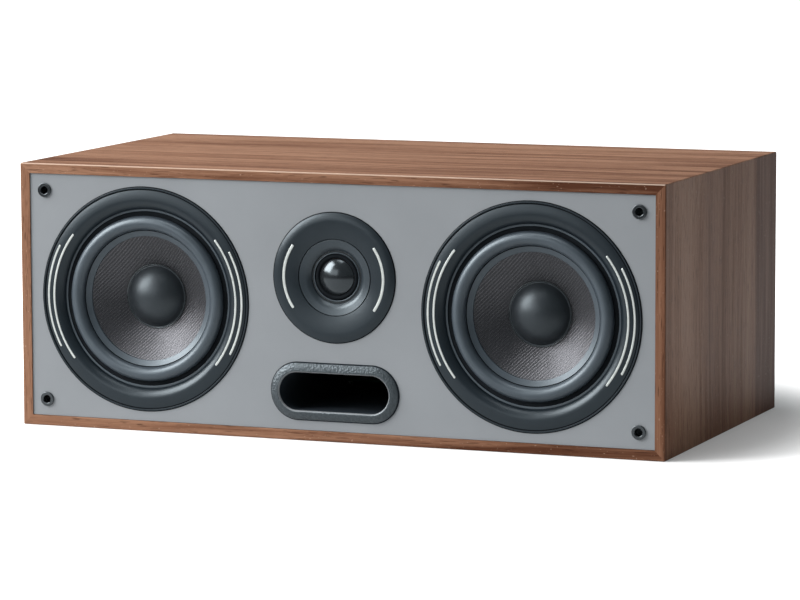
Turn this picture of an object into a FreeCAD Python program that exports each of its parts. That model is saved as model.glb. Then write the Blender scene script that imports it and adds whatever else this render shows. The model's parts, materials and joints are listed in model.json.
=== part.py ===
import FreeCAD, Part
import math
import os

# Two-way centre channel loudspeaker: a mitred walnut sleeve with an inset grey baffle, two woofers,
# a dome tweeter and an oblong reflex port in front, and a terminal cup with two screw posts behind.
# Millimetres. X runs to the right, Y from front to back and Z up. The origin is the middle of the base.
# Turned pieces have r as the radius and f as the distance in front of the plane that carries them: the
# baffle's face or, for a driver, the plane that lies DRIVER_SET behind it.

# Fits shared by many pieces
PANEL_FIT = 0.2            # round the baffle, the back panel and whatever drops into a cut-out
GLUE_GAP = 0.05            # glue line between bonded pieces
SCREW_FIT = 0.05           # round a screw's shank and under its head

# Cabinet, sized round its drivers
LIP = 7.5                  # wood edge showing round the baffle and the back panel
PANEL = 15.0               # board thickness of the sleeve
EDGE_ROUND = 0.9           # rounding of the sleeve's outer edges
DEPTH = 270.0
BAFFLE_RECESS = 1.0        # baffle's face behind the sleeve's front edge
BAFFLE_THICK = 18.0
BACK_THICK = 15.0
SIDE_MARGIN = 9.5          # baffle left showing beside a woofer ring
TOP_MARGIN = 7.0           # baffle left showing above and below a woofer ring
CENTRE_BAY = 134.0         # baffle between the two woofer rings
DRIVER_SET = 2.0           # drivers' own zero plane behind the baffle's face
TWEETER_RISE = 22.0        # tweeter axis above the middle of the baffle
PORT_RISE = 28.5           # port axis above the baffle's lower edge
SOCKET_INSET_X = 12.0      # grille socket from the baffle's side edge
SOCKET_INSET_Z = 12.25     # grille socket from the baffle's top and bottom edge

# Woofer trim ring and its bright inlays
RING_R = 83.0
RING_LIP_W = 2.7           # flat lip outside the ring's fine groove
RING_LIP_H = 0.9           # lip in front of the baffle's face
RING_GROOVE_W = 1.0
RING_GROOVE_DEPTH = 0.5
RING_EDGE_H = 0.5          # band's outer edge in front of the baffle's face
RING_BAND = 10.5           # from the outer edge to the ridge
RING_RIDGE_H = 1.6         # ridge in front of the baffle's face
RING_CROWN = 0.3           # bulge of the band between groove and ridge
RING_SLOPE = 6.5           # from the ridge to the inner edge
RING_SHOULDER = 0.9        # bulge of the slope inside the ridge
RING_INNER_H = 0.5         # ring's thickness at the inner edge
RING_OVERHANG = 3.0        # ring past the basket flange that it hides
INLAY_WIDTH = 1.6
INLAY_DEPTH = 0.8          # inlay below the ring's surface
INLAY_PROUD = 0.25         # inlay above the ring's surface
INLAY_STEP_R = 4.6         # between the inner and the outer inlay
INLAY_FROM_RIDGE = 0.5     # inner inlay's middle outside the ridge
INNER_INLAY_HALF_DEG = 38.5
OUTER_INLAY_HALF_DEG = 28.5

# Woofer basket, gasket and motor
FLANGE_SET = 1.8           # basket flange's face behind the drivers' zero plane
FLANGE_THICK = 3.0
GASKET_THICK = 1.0
SEAT_WIDTH = 7.5           # basket flange resting on the baffle
SURROUND_SEAT = 3.0        # ledge for the surround, behind the drivers' zero plane
BASKET_WALL = 2.5
BASKET_DEPTH = 44.0        # zero plane to the motor's top plate
SPIDER_DEPTH = 33.0        # zero plane to the spider's ledge
SPIDER_LEDGE_W = 5.0
SPIDER_R = 41.0
BASKET_FOOT_R = 30.0       # opening in the basket's foot
SPOKES = 6
SPOKE_DEG = 19.0
WINDOW_MARGIN = 3.2        # wall left in front of and behind the windows between the spokes
TAG_WIDTH = 13.0           # terminal tag moulded on one spoke
TAG_THICK = 4.0
TAG_REACH = 9.0
TAG_DEPTH = 22.0
TOP_PLATE_R = 47.0
TOP_PLATE_THICK = 6.0
MAGNET_R = 50.0
MAGNET_BORE_R = 26.0
MAGNET_THICK = 17.0
YOKE_R = 46.0
YOKE_THICK = 6.0
POLE_VENT_R = 5.0

# Woofer moving parts
SURROUND_TUCK = 0.5        # surround's lip under the trim ring
SURROUND_LIP = 5.5
SURROUND_THICK = 1.0
ROLL_WIDTH = 10.4
CONE_LIP = 4.7             # surround's inner lip on the cone
CONE_LIP_DROP = 2.2
CONE_THICK = 0.8
CONE_DEPTH = 17.5          # from the lip's inner edge to the neck
CAP_R = 22.5
CAP_RISE = 13.0
CAP_THICK = 0.8
CAP_FOOT = 1.4
COIL_R = 16.0              # outside of the coil former
FORMER_THICK = 0.3
WINDING_THICK = 0.9
WINDING_LENGTH = 12.0
FORMER_TAIL = 1.0          # former behind the winding
COIL_CLEARANCE = 0.5       # air each side of the coil in the magnet's gap
SPIDER_THICK = 0.6
SPIDER_WAVE = 1.2
SPIDER_WAVES = 6
SPIDER_COLLAR = 2.0

# Countersunk driver screws
SCREW_R = 1.7
SCREW_HEAD_R = 3.3
SCREW_HEAD_H = 1.9
SCREW_LENGTH = 13.0
TWEETER_SCREWS = 4

# Tweeter
DISC_R = 47.7              # outer trim disc
DISC_RIM_H = 0.8           # disc's rim, edge and crest in front of the baffle's face
DISC_EDGE_H = 1.1
DISC_EDGE_W = 1.2
DISC_CREST_IN = 7.0        # from the outer edge to the crest
DISC_CREST_H = 2.2
DISC_DISH = 0.6            # hollow of the slope inside the crest
DISC_OVERHANG = 3.6        # disc past the flange that it hides
SEAM_R = 27.6              # joint between the disc and the waveguide
SEAM_H = 1.9               # seam in front of the drivers' zero plane
SEAM_GAP = 0.4
DISC_INLAY_IN = 9.1        # from the outer edge to the inlays' middle
DISC_INLAY_WIDTH = 2.1
DISC_INLAY_HALF_DEG = 35.0
TWEETER_FLANGE = 4.0
THROAT_R = 19.4
THROAT_DEPTH = 2.2         # throat's edge behind the drivers' zero plane
WAVEGUIDE_FLARE = 0.9      # bulge of the waveguide between throat and seam
DOME_R = 13.4
DOME_RISE = 5.5
DOME_THICK = 0.4
DOME_SEAT = 0.6            # dome's rim in front of the top plate
DOME_ROLL = 3.2            # width of the dome's own surround
DOME_LIP = 1.8
DOME_SURROUND_THICK = 0.3
BEAD_WIDTH = 0.8           # fine bead on the ring that clamps the surround
BEAD_RISE = 0.6
CLAMP_THICK = 0.8
TWEETER_COIL_THICK = 0.7
TWEETER_COIL_LENGTH = 5.0
TWEETER_COIL_CLEARANCE = 0.35
TWEETER_PLATE_R = 36.0
TWEETER_PLATE_THICK = 4.0
TWEETER_MAGNET_BORE_R = 20.0
TWEETER_MAGNET_THICK = 9.0
TWEETER_YOKE_THICK = 4.0
TWEETER_YOKE_R = 34.0
CHAMBER_R = 31.0
CHAMBER_LENGTH = 18.0
CHAMBER_WALL = 2.0
HOLE_CLEARANCE = 0.8       # round the tweeter's motor in the baffle

# Reflex port
PORT_BORE_R = 13.8         # half the duct's height
PORT_STRAIGHT = 57.5       # straight part of the oblong
PORT_RIM = 7.6             # width of the raised rim
PORT_RIM_H = 3.4
PORT_EDGE_H = 1.2
PORT_WALL = 3.0
PORT_LENGTH = 118.0
PORT_MOUTH_ROUND = 1.0
PORT_RIM_CROWN = 0.35

# Grille sockets
SOCKET_R = 5.3
SOCKET_FLANGE = 1.3
SOCKET_ROUND = 0.6
SOCKET_BODY_R = 4.0
SOCKET_BORE_R = 2.9
SOCKET_LENGTH = 14.0
SOCKET_FLOOR = 1.5

# Terminal cup and its two screw posts
CUP_RISE = 0.0             # cup's middle above the middle of the back panel
CUP_W = 84.0
CUP_H = 64.0
CUP_CORNER = 12.0
CUP_FLANGE = 6.0
CUP_FLANGE_THICK = 2.5
CUP_WALL = 2.5
CUP_RECESS = 22.0          # floor of the cup behind the back panel's face
CUP_SCREW_R = 1.5
CUP_SCREW_HEAD_R = 2.6
CUP_SCREW_HEAD_H = 1.5
CUP_SCREW_LENGTH = 12.0
CUP_SCREW_INSET = 6.0
POST_SPACING = 26.0
POST_R = 3.0
POST_FLANGE_R = 6.0
POST_FLANGE_THICK = 2.0
POST_LENGTH = 17.0         # post in front of the cup's floor
POST_BORE_R = 2.0          # takes a 4 mm plug
POST_BORE_DEPTH = 13.0
POST_TAIL_R = 2.5
POST_TAIL = 12.0
POST_FIT = 0.06
WASHER_R = 5.5
WASHER_THICK = 1.0
CAP_KNOB_R = 6.0
CAP_KNOB_LENGTH = 12.5
CAP_COLLAR_LENGTH = 3.0
CAP_FLUTES = 16
CAP_FLUTE_R = 0.7
CAP_KNOB_ROUND = 0.6
NUT_R = 5.0
NUT_THICK = 3.0

# Crossover on the floor of the cabinet
BOARD_W = 126.0
BOARD_D = 72.0
BOARD_THICK = 1.6
BOARD_FROM_BACK = 28.0     # board's rear edge from the back panel's inside
STANDOFF_R = 4.0
STANDOFF_H = 6.0
STANDOFF_INSET = 7.0
BOBBIN_R = 16.0
BOBBIN_H = 20.0
BOBBIN_CORE_R = 7.0
BOBBIN_CHEEK = 2.0
BOBBIN_DISH = 2.0          # winding below the cheeks' edge
CAPACITOR_R = 8.5
CAPACITOR_L = 26.0
CAPACITOR_ROUND = 1.5
RESISTOR_W = 24.0
RESISTOR_H = 9.0
RESISTOR_FOOT = 0.8        # moulded feet that hold a resistor off the board

# Leads and damping
LEAD_R = 1.6
LEAD_BEND = 0.45           # share of the shorter run that a bend takes up
WADDING_THICK = 16.0
WADDING_MARGIN = 6.0       # wadding short of the side panels, and clear of the terminal cup and the floor

# Worked out from the values above
BAFFLE_W = 2 * (SIDE_MARGIN + 2 * RING_R) + CENTRE_BAY
BAFFLE_H = 2 * (TOP_MARGIN + RING_R)
WIDTH = BAFFLE_W + 2 * LIP
HEIGHT = BAFFLE_H + 2 * LIP
MIDDLE_Z = HEIGHT / 2
FRONT_Y = -DEPTH / 2
BACK_Y = DEPTH / 2
BAFFLE_Y = FRONT_Y + BAFFLE_RECESS
DRIVER_Y = BAFFLE_Y + DRIVER_SET
WOOFER_X = CENTRE_BAY / 2 + RING_R
TWEETER_Z = MIDDLE_Z + TWEETER_RISE
PORT_Z = LIP + PORT_RISE
CUP_Z = MIDDLE_Z + CUP_RISE
BAND_R = RING_R - RING_LIP_W
RIDGE_R = RING_R - RING_BAND
RING_INNER_R = RIDGE_R - RING_SLOPE
FLANGE_R = RING_R - RING_OVERHANG
WOOFER_HOLE_R = FLANGE_R - SEAT_WIDTH
WOOFER_SCREW_R = FLANGE_R - SEAT_WIDTH / 2
SURROUND_R = RING_INNER_R + SURROUND_TUCK
ROLL_OUTER_R = SURROUND_R - SURROUND_LIP
ROLL_INNER_R = ROLL_OUTER_R - ROLL_WIDTH
CONE_LIP_R = ROLL_INNER_R - CONE_LIP
CONE_NECK_R = COIL_R + GLUE_GAP
POLE_R = COIL_R - FORMER_THICK - COIL_CLEARANCE
PLATE_BORE_R = COIL_R + WINDING_THICK + COIL_CLEARANCE
DISC_FLANGE_R = DISC_R - DISC_OVERHANG
TWEETER_HOLE_R = TWEETER_PLATE_R + HOLE_CLEARANCE
TWEETER_SCREW_R = (DISC_FLANGE_R + TWEETER_HOLE_R) / 2
PORT_RIM_R = PORT_BORE_R + PORT_RIM
PORT_TUBE_R = PORT_BORE_R + PORT_WALL
FLOOR_Z = PANEL
CEILING_Z = HEIGHT - PANEL
REAR_WALL_Y = BACK_Y - BACK_THICK
BOARD_BACK_Y = REAR_WALL_Y - BOARD_FROM_BACK
BOARD_FRONT_Y = BOARD_BACK_Y - BOARD_D
BOARD_TOP_Z = FLOOR_Z + STANDOFF_H + BOARD_THICK
CUP_FLOOR_Y = BACK_Y - CUP_RECESS
POST_XS = (-POST_SPACING / 2, POST_SPACING / 2)
WOOFERS = {"left": -WOOFER_X, "right": WOOFER_X}

ACROSS = FreeCAD.Vector(1, 0, 0)
INWARDS = FreeCAD.Vector(0, 1, 0)
OUTWARDS = FreeCAD.Vector(0, -1, 0)
UP = FreeCAD.Vector(0, 0, 1)
ORIGIN = FreeCAD.Vector(0, 0, 0)


# Shared shaping

def spot(r, f):
    """A point of a driver's half section, on the driver's own axis frame."""
    return FreeCAD.Vector(r, -f, 0)


def section(corners):
    """A closed face from corners (r, f). A pair ((r, f), (r, f)) is an arc: its middle, then its end."""
    edges = []
    here = spot(*corners[0])
    for corner in list(corners[1:]) + [corners[0]]:
        if isinstance(corner[0], tuple):
            middle, end = (spot(*p) for p in corner)
            edges.append(Part.Arc(here, middle, end).toShape())
        else:
            end = spot(*corner)
            if end.distanceToPoint(here) < 1e-7:
                continue
            edges.append(Part.LineSegment(here, end).toShape())
        here = end
    return Part.Face(Part.Wire(edges))


def turned(corners, degrees=360.0):
    """The solid that a half section sweeps about the driver's axis."""
    return section(corners).revolve(ORIGIN, OUTWARDS, degrees)


def washer(outer, inner, front, back):
    """A flat ring between two distances from the plane that carries it."""
    return turned([(inner, back), (outer, back), (outer, front), (inner, front)])


def on_face(shape, x, z):
    """A copy of a turned piece, set on the baffle's face."""
    placed = shape.copy()
    placed.translate(FreeCAD.Vector(x, BAFFLE_Y, z))
    return placed


def on_axis(shape, x, z, turn=0.0):
    """A copy of a driver's piece, turned about its axis and set on the drivers' zero plane."""
    placed = shape.copy()
    placed.rotate(ORIGIN, INWARDS, turn)
    placed.translate(FreeCAD.Vector(x, DRIVER_Y, z))
    return placed


def ring_of(shape, count, start=0.0):
    """Copies of a piece spread evenly round the driver's axis."""
    copies = []
    for i in range(count):
        copy = shape.copy()
        copy.rotate(ORIGIN, INWARDS, start + 360.0 * i / count)
        copies.append(copy)
    return copies


def bar_round_axis(radius, width, back, front, half_deg):
    """A round-ended bar that follows a circle about the driver's axis, centred on +X."""
    edge = width / 2
    body = turned(
        [(radius - edge, back), (radius + edge, back), (radius + edge, front), (radius - edge, front)],
        2 * half_deg,
    )
    body.rotate(ORIGIN, OUTWARDS, -half_deg)
    for angle in (-half_deg, half_deg):
        end = Part.makeCylinder(edge, front - back, spot(radius, back), OUTWARDS)
        end.rotate(ORIGIN, OUTWARDS, angle)
        body = body.fuse(end)
    return body.removeSplitter()


def both_sides(bar):
    """A bar and its twin on the far side of the axis."""
    return ring_of(bar, 2)


def box(x0, x1, y0, y1, z0, z1):
    """A block between two corners."""
    return Part.makeBox(x1 - x0, y1 - y0, z1 - z0, FreeCAD.Vector(x0, y0, z0))


def rounded_plate(width, height, corner, y0, y1, z):
    """A plate in the XZ plane with rounded corners, centred on the cabinet's middle line."""
    plate = box(-width / 2, width / 2, y0, y1, z - height / 2, z + height / 2)
    along = [e for e in plate.Edges if abs(e.tangentAt(e.FirstParameter).y) > 0.9]
    return plate.makeFillet(corner, along)


def rod(radius, length, start, direction):
    """A plain cylinder."""
    return Part.makeCylinder(radius, length, start, direction)


def swell(share, bulge):
    """How far a shallow arc stands off its chord at a share of the chord's length."""
    return 4 * bulge * share * (1 - share)


def arc_middle(start, end, bulge):
    """The point of an arc that stands off the middle of its chord, to the left of its direction."""
    (r0, f0), (r1, f1) = start, end
    chord = math.hypot(r1 - r0, f1 - f0)
    return (r0 + r1) / 2 - (f1 - f0) / chord * bulge, (f0 + f1) / 2 + (r1 - r0) / chord * bulge


def dome_middle(radius, base, apex):
    """The point half way along a dome's arc, from its apex to its rim."""
    rise = apex - base
    sphere = (radius ** 2 + rise ** 2) / (2 * rise)
    half = math.asin(radius / sphere) / 2
    return sphere * math.sin(half), apex - sphere * (1 - math.cos(half))


# Cabinet

def sleeve_panels():
    """The four mitred boards, rebated in front for the baffle and behind for the back panel."""
    block = box(-WIDTH / 2, WIDTH / 2, FRONT_Y, BACK_Y, 0, HEIGHT)
    block = block.makeFillet(EDGE_ROUND, block.Edges)
    inner_x, inner_z = WIDTH / 2 - PANEL, HEIGHT / 2 - PANEL
    front_rebate = box(
        -BAFFLE_W / 2, BAFFLE_W / 2, FRONT_Y - PANEL, BAFFLE_Y + BAFFLE_THICK, LIP, HEIGHT - LIP)
    back_rebate = box(
        -BAFFLE_W / 2, BAFFLE_W / 2, BACK_Y - BACK_THICK, BACK_Y + PANEL, LIP, HEIGHT - LIP)
    outer = {"left": -WIDTH / 2, "right": WIDTH / 2, "bottom": -HEIGHT / 2, "top": HEIGHT / 2}

    def board(corners):
        points = [FreeCAD.Vector(x, FRONT_Y, MIDDLE_Z + z) for x, z in corners]
        face = Part.Face(Part.makePolygon(points + points[:1]))
        return block.common(face.extrude(INWARDS * DEPTH)).cut(front_rebate).cut(back_rebate)

    def level(z_out, z_in):
        return board([(outer["left"], z_out), (outer["right"], z_out), (inner_x, z_in), (-inner_x, z_in)])

    def upright(x_out, x_in):
        return board([(x_out, outer["bottom"]), (x_out, outer["top"]), (x_in, inner_z), (x_in, -inner_z)])

    return {
        "top_panel": level(outer["top"], inner_z),
        "bottom_panel": level(outer["bottom"], -inner_z),
        "left_side_panel": upright(outer["left"], -inner_x),
        "right_side_panel": upright(outer["right"], inner_x),
    }


def socket_places():
    """The four corners where the grille's pegs go in."""
    x = BAFFLE_W / 2 - SOCKET_INSET_X
    z = BAFFLE_H / 2 - SOCKET_INSET_Z
    return [(sx * x, MIDDLE_Z + sz * z) for sx in (-1, 1) for sz in (-1, 1)]


def screw_cutter(length):
    """The hole that a countersunk driver screw needs."""
    return turned([
        (0, -length), (SCREW_R + SCREW_FIT, -length), (SCREW_R + SCREW_FIT, -SCREW_HEAD_H - SCREW_FIT),
        (SCREW_HEAD_R + SCREW_FIT, -SCREW_FIT), (SCREW_HEAD_R + SCREW_FIT, SCREW_HEAD_H), (0, SCREW_HEAD_H)])


def driver_holes(radius, count, start, behind):
    """Screw holes on a circle, as deep as the screws, from a face behind the drivers' zero plane."""
    cutter = screw_cutter(SCREW_LENGTH + SCREW_FIT)
    cutter.translate(ACROSS * radius + INWARDS * behind)
    return ring_of(cutter, count, start)


def woofer_screw_holes():
    """Screw holes half way between the spokes."""
    return driver_holes(WOOFER_SCREW_R, SPOKES, 180.0 / SPOKES, FLANGE_SET)


def tweeter_screw_holes():
    """Screw holes on the diagonals of the tweeter's flange."""
    return driver_holes(TWEETER_SCREW_R, TWEETER_SCREWS, 180.0 / TWEETER_SCREWS, 0.0)


def port_plug(radius, y0, y1):
    """An oblong prism as wide as the port's straight part plus two half rounds."""
    side = PORT_STRAIGHT / 2
    middle = box(-side, side, y0, y1, PORT_Z - radius, PORT_Z + radius)
    for x in (-side, side):
        middle = middle.fuse(rod(radius, y1 - y0, FreeCAD.Vector(x, y0, PORT_Z), INWARDS))
    return middle.removeSplitter()


def front_baffle():
    """The grey board that drops into the front rebate, cut for drivers, port and sockets."""
    half_w, half_h = BAFFLE_W / 2 - PANEL_FIT, BAFFLE_H / 2 - PANEL_FIT
    back_y = BAFFLE_Y + BAFFLE_THICK
    board = box(-half_w, half_w, BAFFLE_Y, back_y, MIDDLE_Z - half_h, MIDDLE_Z + half_h)
    cuts = [port_plug(PORT_TUBE_R + PANEL_FIT, BAFFLE_Y - PANEL, back_y + PANEL)]
    seat = FLANGE_SET + FLANGE_THICK + GASKET_THICK
    woofer_cut = turned([
        (0, -2 * BAFFLE_THICK), (WOOFER_HOLE_R, -2 * BAFFLE_THICK), (WOOFER_HOLE_R, -seat),
        (FLANGE_R + PANEL_FIT, -seat), (FLANGE_R + PANEL_FIT, seat), (0, seat)])
    for x in WOOFERS.values():
        cuts += [on_axis(c, x, MIDDLE_Z) for c in [woofer_cut] + woofer_screw_holes()]
    tweeter_cut = turned([
        (0, -2 * BAFFLE_THICK), (TWEETER_HOLE_R, -2 * BAFFLE_THICK), (TWEETER_HOLE_R, -TWEETER_FLANGE),
        (DISC_FLANGE_R + PANEL_FIT, -TWEETER_FLANGE), (DISC_FLANGE_R + PANEL_FIT, seat), (0, seat)])
    cuts += [on_axis(c, 0, TWEETER_Z) for c in [tweeter_cut] + tweeter_screw_holes()]
    socket_cut = rod(SOCKET_BODY_R + GLUE_GAP, 2 * BAFFLE_THICK, spot(0, -1.5 * BAFFLE_THICK), OUTWARDS)
    cuts += [on_face(socket_cut, x, z) for x, z in socket_places()]
    return board.cut(Part.makeCompound(cuts))


def cup_screw_places():
    """The corners of the terminal cup's flange where it is screwed down."""
    x = CUP_W / 2 + CUP_FLANGE - CUP_SCREW_INSET
    z = CUP_H / 2 + CUP_FLANGE - CUP_SCREW_INSET
    return [(sx * x, CUP_Z + sz * z) for sx in (-1, 1) for sz in (-1, 1)]


def back_panel():
    """The board in the rear rebate, cut for the terminal cup and its screws."""
    half_w, half_h = BAFFLE_W / 2 - PANEL_FIT, BAFFLE_H / 2 - PANEL_FIT
    board = box(-half_w, half_w, BACK_Y - BACK_THICK, BACK_Y, MIDDLE_Z - half_h, MIDDLE_Z + half_h)
    opening = rounded_plate(
        CUP_W + 2 * PANEL_FIT, CUP_H + 2 * PANEL_FIT, CUP_CORNER + PANEL_FIT,
        BACK_Y - 2 * BACK_THICK, BACK_Y + BACK_THICK, CUP_Z)
    board = board.cut(opening)
    for x, z in cup_screw_places():
        start = FreeCAD.Vector(x, BACK_Y - CUP_SCREW_LENGTH, z)
        board = board.cut(rod(CUP_SCREW_R + SCREW_FIT, 2 * CUP_SCREW_LENGTH, start, INWARDS))
    return board


def grille_sockets():
    """Four blind plastic sockets with a rounded collar."""
    floor = SOCKET_FLANGE - SOCKET_LENGTH
    corner = SOCKET_FLANGE - SOCKET_ROUND
    turn = SOCKET_ROUND * (1 - math.sqrt(0.5))
    socket = turned([
        (0, floor), (SOCKET_BODY_R, floor), (SOCKET_BODY_R, 0), (SOCKET_R, 0), (SOCKET_R, corner),
        ((SOCKET_R - turn, SOCKET_FLANGE - turn), (SOCKET_R - SOCKET_ROUND, SOCKET_FLANGE)),
        (SOCKET_BORE_R + SOCKET_ROUND, SOCKET_FLANGE),
        ((SOCKET_BORE_R + turn, SOCKET_FLANGE - turn), (SOCKET_BORE_R, corner)),
        (SOCKET_BORE_R, floor + SOCKET_FLOOR), (0, floor + SOCKET_FLOOR)])
    return Part.makeCompound([on_face(socket, x, z) for x, z in socket_places()])


def port_tube():
    """The moulded port: an oblong duct with a raised rim that slopes away outwards."""
    crest = PORT_BORE_R + PORT_MOUTH_ROUND
    turn = PORT_MOUTH_ROUND * (1 - math.sqrt(0.5))
    edge, top = (PORT_RIM_R, PORT_EDGE_H), (crest, PORT_RIM_H)
    corners = [
        (PORT_BORE_R, -PORT_LENGTH), (PORT_TUBE_R, -PORT_LENGTH), (PORT_TUBE_R, 0), (PORT_RIM_R, 0), edge,
        (arc_middle(edge, top, -PORT_RIM_CROWN), top),
        ((PORT_BORE_R + turn, PORT_RIM_H - turn), (PORT_BORE_R, PORT_RIM_H - PORT_MOUTH_ROUND))]
    half = PORT_STRAIGHT / 2
    tube = None
    for side in (-1, 1):
        end = turned(corners, 180.0)
        end.rotate(ORIGIN, OUTWARDS, 90.0 if side < 0 else -90.0)
        end.translate(ACROSS * side * half)
        wall = section(corners)
        wall.rotate(ORIGIN, OUTWARDS, 90.0 * side)
        run = wall.extrude(ACROSS * PORT_STRAIGHT)
        run.translate(ACROSS * -half)
        tube = end.fuse(run) if tube is None else tube.fuse([end, run])
    return on_face(tube.removeSplitter(), 0, PORT_Z)


# Woofers

def ring_top(r):
    """Height of the trim ring's crowned band at a radius between its edge and its ridge."""
    share = (BAND_R - r) / (BAND_R - RIDGE_R)
    line = RING_EDGE_H + share * (RING_RIDGE_H - RING_EDGE_H)
    return DRIVER_SET + line + swell(share, RING_CROWN)


def ring_inlay_bars(clearance):
    """The two bright bars of each side, inner then outer, or their grooves with a clearance."""
    bars = []
    inner_r = RIDGE_R + INLAY_FROM_RIDGE
    for radius, half in ((inner_r, INNER_INLAY_HALF_DEG), (inner_r + INLAY_STEP_R, OUTER_INLAY_HALF_DEG)):
        top = ring_top(radius)
        front = top + INLAY_PROUD + (RING_LIP_W if clearance else 0)
        bar = bar_round_axis(radius, INLAY_WIDTH + 2 * clearance, top - INLAY_DEPTH, front, half)
        bars += both_sides(bar)
    return bars


def trim_ring():
    """The ring that hides the basket's flange and screws: lip, fine groove, crowned band, rounded slope."""
    lip = DRIVER_SET + RING_LIP_H
    edge, ridge = (BAND_R, ring_top(BAND_R)), (RIDGE_R, ring_top(RIDGE_R))
    inner = (RING_INNER_R, RING_INNER_H - FLANGE_SET)
    ring = turned([
        (RING_INNER_R, -FLANGE_SET), (FLANGE_R, -FLANGE_SET), (FLANGE_R, DRIVER_SET), (RING_R, DRIVER_SET),
        (RING_R, lip), (BAND_R + RING_GROOVE_W, lip), (BAND_R + RING_GROOVE_W / 2, lip - RING_GROOVE_DEPTH),
        edge, (arc_middle(edge, ridge, -RING_CROWN), ridge),
        (arc_middle(ridge, inner, -RING_SHOULDER), inner)])
    return ring.cut(Part.makeCompound(ring_inlay_bars(GLUE_GAP)))


def ring_inlays():
    """Four bright bars let into the trim ring."""
    return Part.makeCompound(ring_inlay_bars(0.0))


def woofer_gasket():
    """Foam ring between the basket's flange and the baffle, pierced for the screws."""
    front = -FLANGE_SET - FLANGE_THICK
    ring = washer(FLANGE_R, WOOFER_HOLE_R, front, front - GASKET_THICK)
    return ring.cut(Part.makeCompound(woofer_screw_holes()))


def basket():
    """The woofer's frame: flange, surround ledge, spoked cone, spider ledge and motor foot."""
    ledge_r = SURROUND_R + PANEL_FIT
    ledge_in = ROLL_OUTER_R - SURROUND_THICK
    seat, under = -SURROUND_SEAT, -SURROUND_SEAT - BASKET_WALL
    spider_in = SPIDER_R - SPIDER_LEDGE_W
    wall_in = SPIDER_R + PANEL_FIT
    foot_top = BASKET_WALL - BASKET_DEPTH
    flange_back = -FLANGE_SET - FLANGE_THICK
    frame = turned([
        (ledge_r, -FLANGE_SET), (ledge_r, seat), (ledge_in, seat), (ledge_in, under), (wall_in, -SPIDER_DEPTH),
        (spider_in, -SPIDER_DEPTH), (spider_in, foot_top), (BASKET_FOOT_R, foot_top),
        (BASKET_FOOT_R, -BASKET_DEPTH), (wall_in + BASKET_WALL, -BASKET_DEPTH),
        (wall_in + BASKET_WALL, -SPIDER_DEPTH), (ledge_in + BASKET_WALL, under),
        (ledge_r + BASKET_WALL, under), (ledge_r + BASKET_WALL, flange_back), (FLANGE_R, flange_back),
        (FLANGE_R, -FLANGE_SET)])
    window_deg = 360.0 / SPOKES - SPOKE_DEG
    window_top, window_bottom = under - WINDOW_MARGIN, WINDOW_MARGIN - SPIDER_DEPTH
    window = turned(
        [(spider_in, window_bottom), (FLANGE_R, window_bottom), (FLANGE_R, window_top),
         (spider_in, window_top)],
        window_deg)
    window.rotate(ORIGIN, OUTWARDS, -window_deg / 2)
    frame = frame.cut(Part.makeCompound(ring_of(window, SPOKES, 180.0 / SPOKES)))
    wall_share = (TAG_DEPTH + under) / (SPIDER_DEPTH + under)
    wall_r = ledge_in + wall_share * (wall_in - ledge_in)
    tag = box(
        wall_r + BASKET_WALL / 2, wall_r + BASKET_WALL + TAG_REACH, TAG_DEPTH, TAG_DEPTH + TAG_THICK,
        -TAG_WIDTH / 2, TAG_WIDTH / 2)
    frame = frame.fuse(tag).removeSplitter()
    return frame.cut(Part.makeCompound(woofer_screw_holes()))


def tag_reach_r():
    """Radius of the terminal tag's middle, where a lead is soldered."""
    ledge_in = ROLL_OUTER_R - SURROUND_THICK
    under = -SURROUND_SEAT - BASKET_WALL
    wall_share = (TAG_DEPTH + under) / (SPIDER_DEPTH + under)
    wall_r = ledge_in + wall_share * (SPIDER_R + PANEL_FIT - ledge_in)
    return wall_r + BASKET_WALL + TAG_REACH - LEAD_R - 1.0


def surround():
    """Rubber half roll with an outer lip on the basket and an inner lip on the cone."""
    back, top = -SURROUND_SEAT, SURROUND_THICK - SURROUND_SEAT
    middle_r = (ROLL_OUTER_R + ROLL_INNER_R) / 2
    roll = ROLL_WIDTH / 2
    return turned([
        (SURROUND_R, back), (SURROUND_R, top), (ROLL_OUTER_R, top),
        ((middle_r, top + roll), (ROLL_INNER_R, top)), (CONE_LIP_R, top - CONE_LIP_DROP),
        (CONE_LIP_R, back - CONE_LIP_DROP), (ROLL_INNER_R, back), (ROLL_INNER_R + SURROUND_THICK, back),
        (ROLL_INNER_R + SURROUND_THICK, top),
        ((middle_r, top + roll - SURROUND_THICK), (ROLL_OUTER_R - SURROUND_THICK, top)),
        (ROLL_OUTER_R - SURROUND_THICK, back)])


def cone_face(r):
    """Height of the cone's front face at a radius, inside the surround's lip."""
    edge = -SURROUND_SEAT - CONE_LIP_DROP - GLUE_GAP
    return edge - CONE_DEPTH * (CONE_LIP_R - r) / (CONE_LIP_R - CONE_NECK_R)


def cone():
    """Thin straight-sided cone with a flatter rim under the surround's lip."""
    rim = (ROLL_INNER_R, -SURROUND_SEAT - GLUE_GAP)
    bend = (CONE_LIP_R, cone_face(CONE_LIP_R))
    neck = (CONE_NECK_R, cone_face(CONE_NECK_R))
    front = [rim, bend, neck]
    back = [(r, f - CONE_THICK) for r, f in reversed(front)]
    return turned(front + back)


def dust_cap():
    """Domed cap with a narrow foot that follows the cone."""
    inner_r, foot_r = CAP_R - CAP_THICK, CAP_R + CAP_FOOT
    base = cone_face(CAP_R) + CAP_THICK
    inner_base = cone_face(inner_r) + GLUE_GAP
    apex = cone_face(CAP_R) + CAP_RISE
    return turned([
        (0, apex), (dome_middle(CAP_R, base, apex), (CAP_R, base)),
        (foot_r, cone_face(foot_r) + CAP_THICK), (foot_r, cone_face(foot_r) + GLUE_GAP),
        (inner_r, inner_base),
        (dome_middle(inner_r, inner_base, apex - CAP_THICK), (0, apex - CAP_THICK))])


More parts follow.
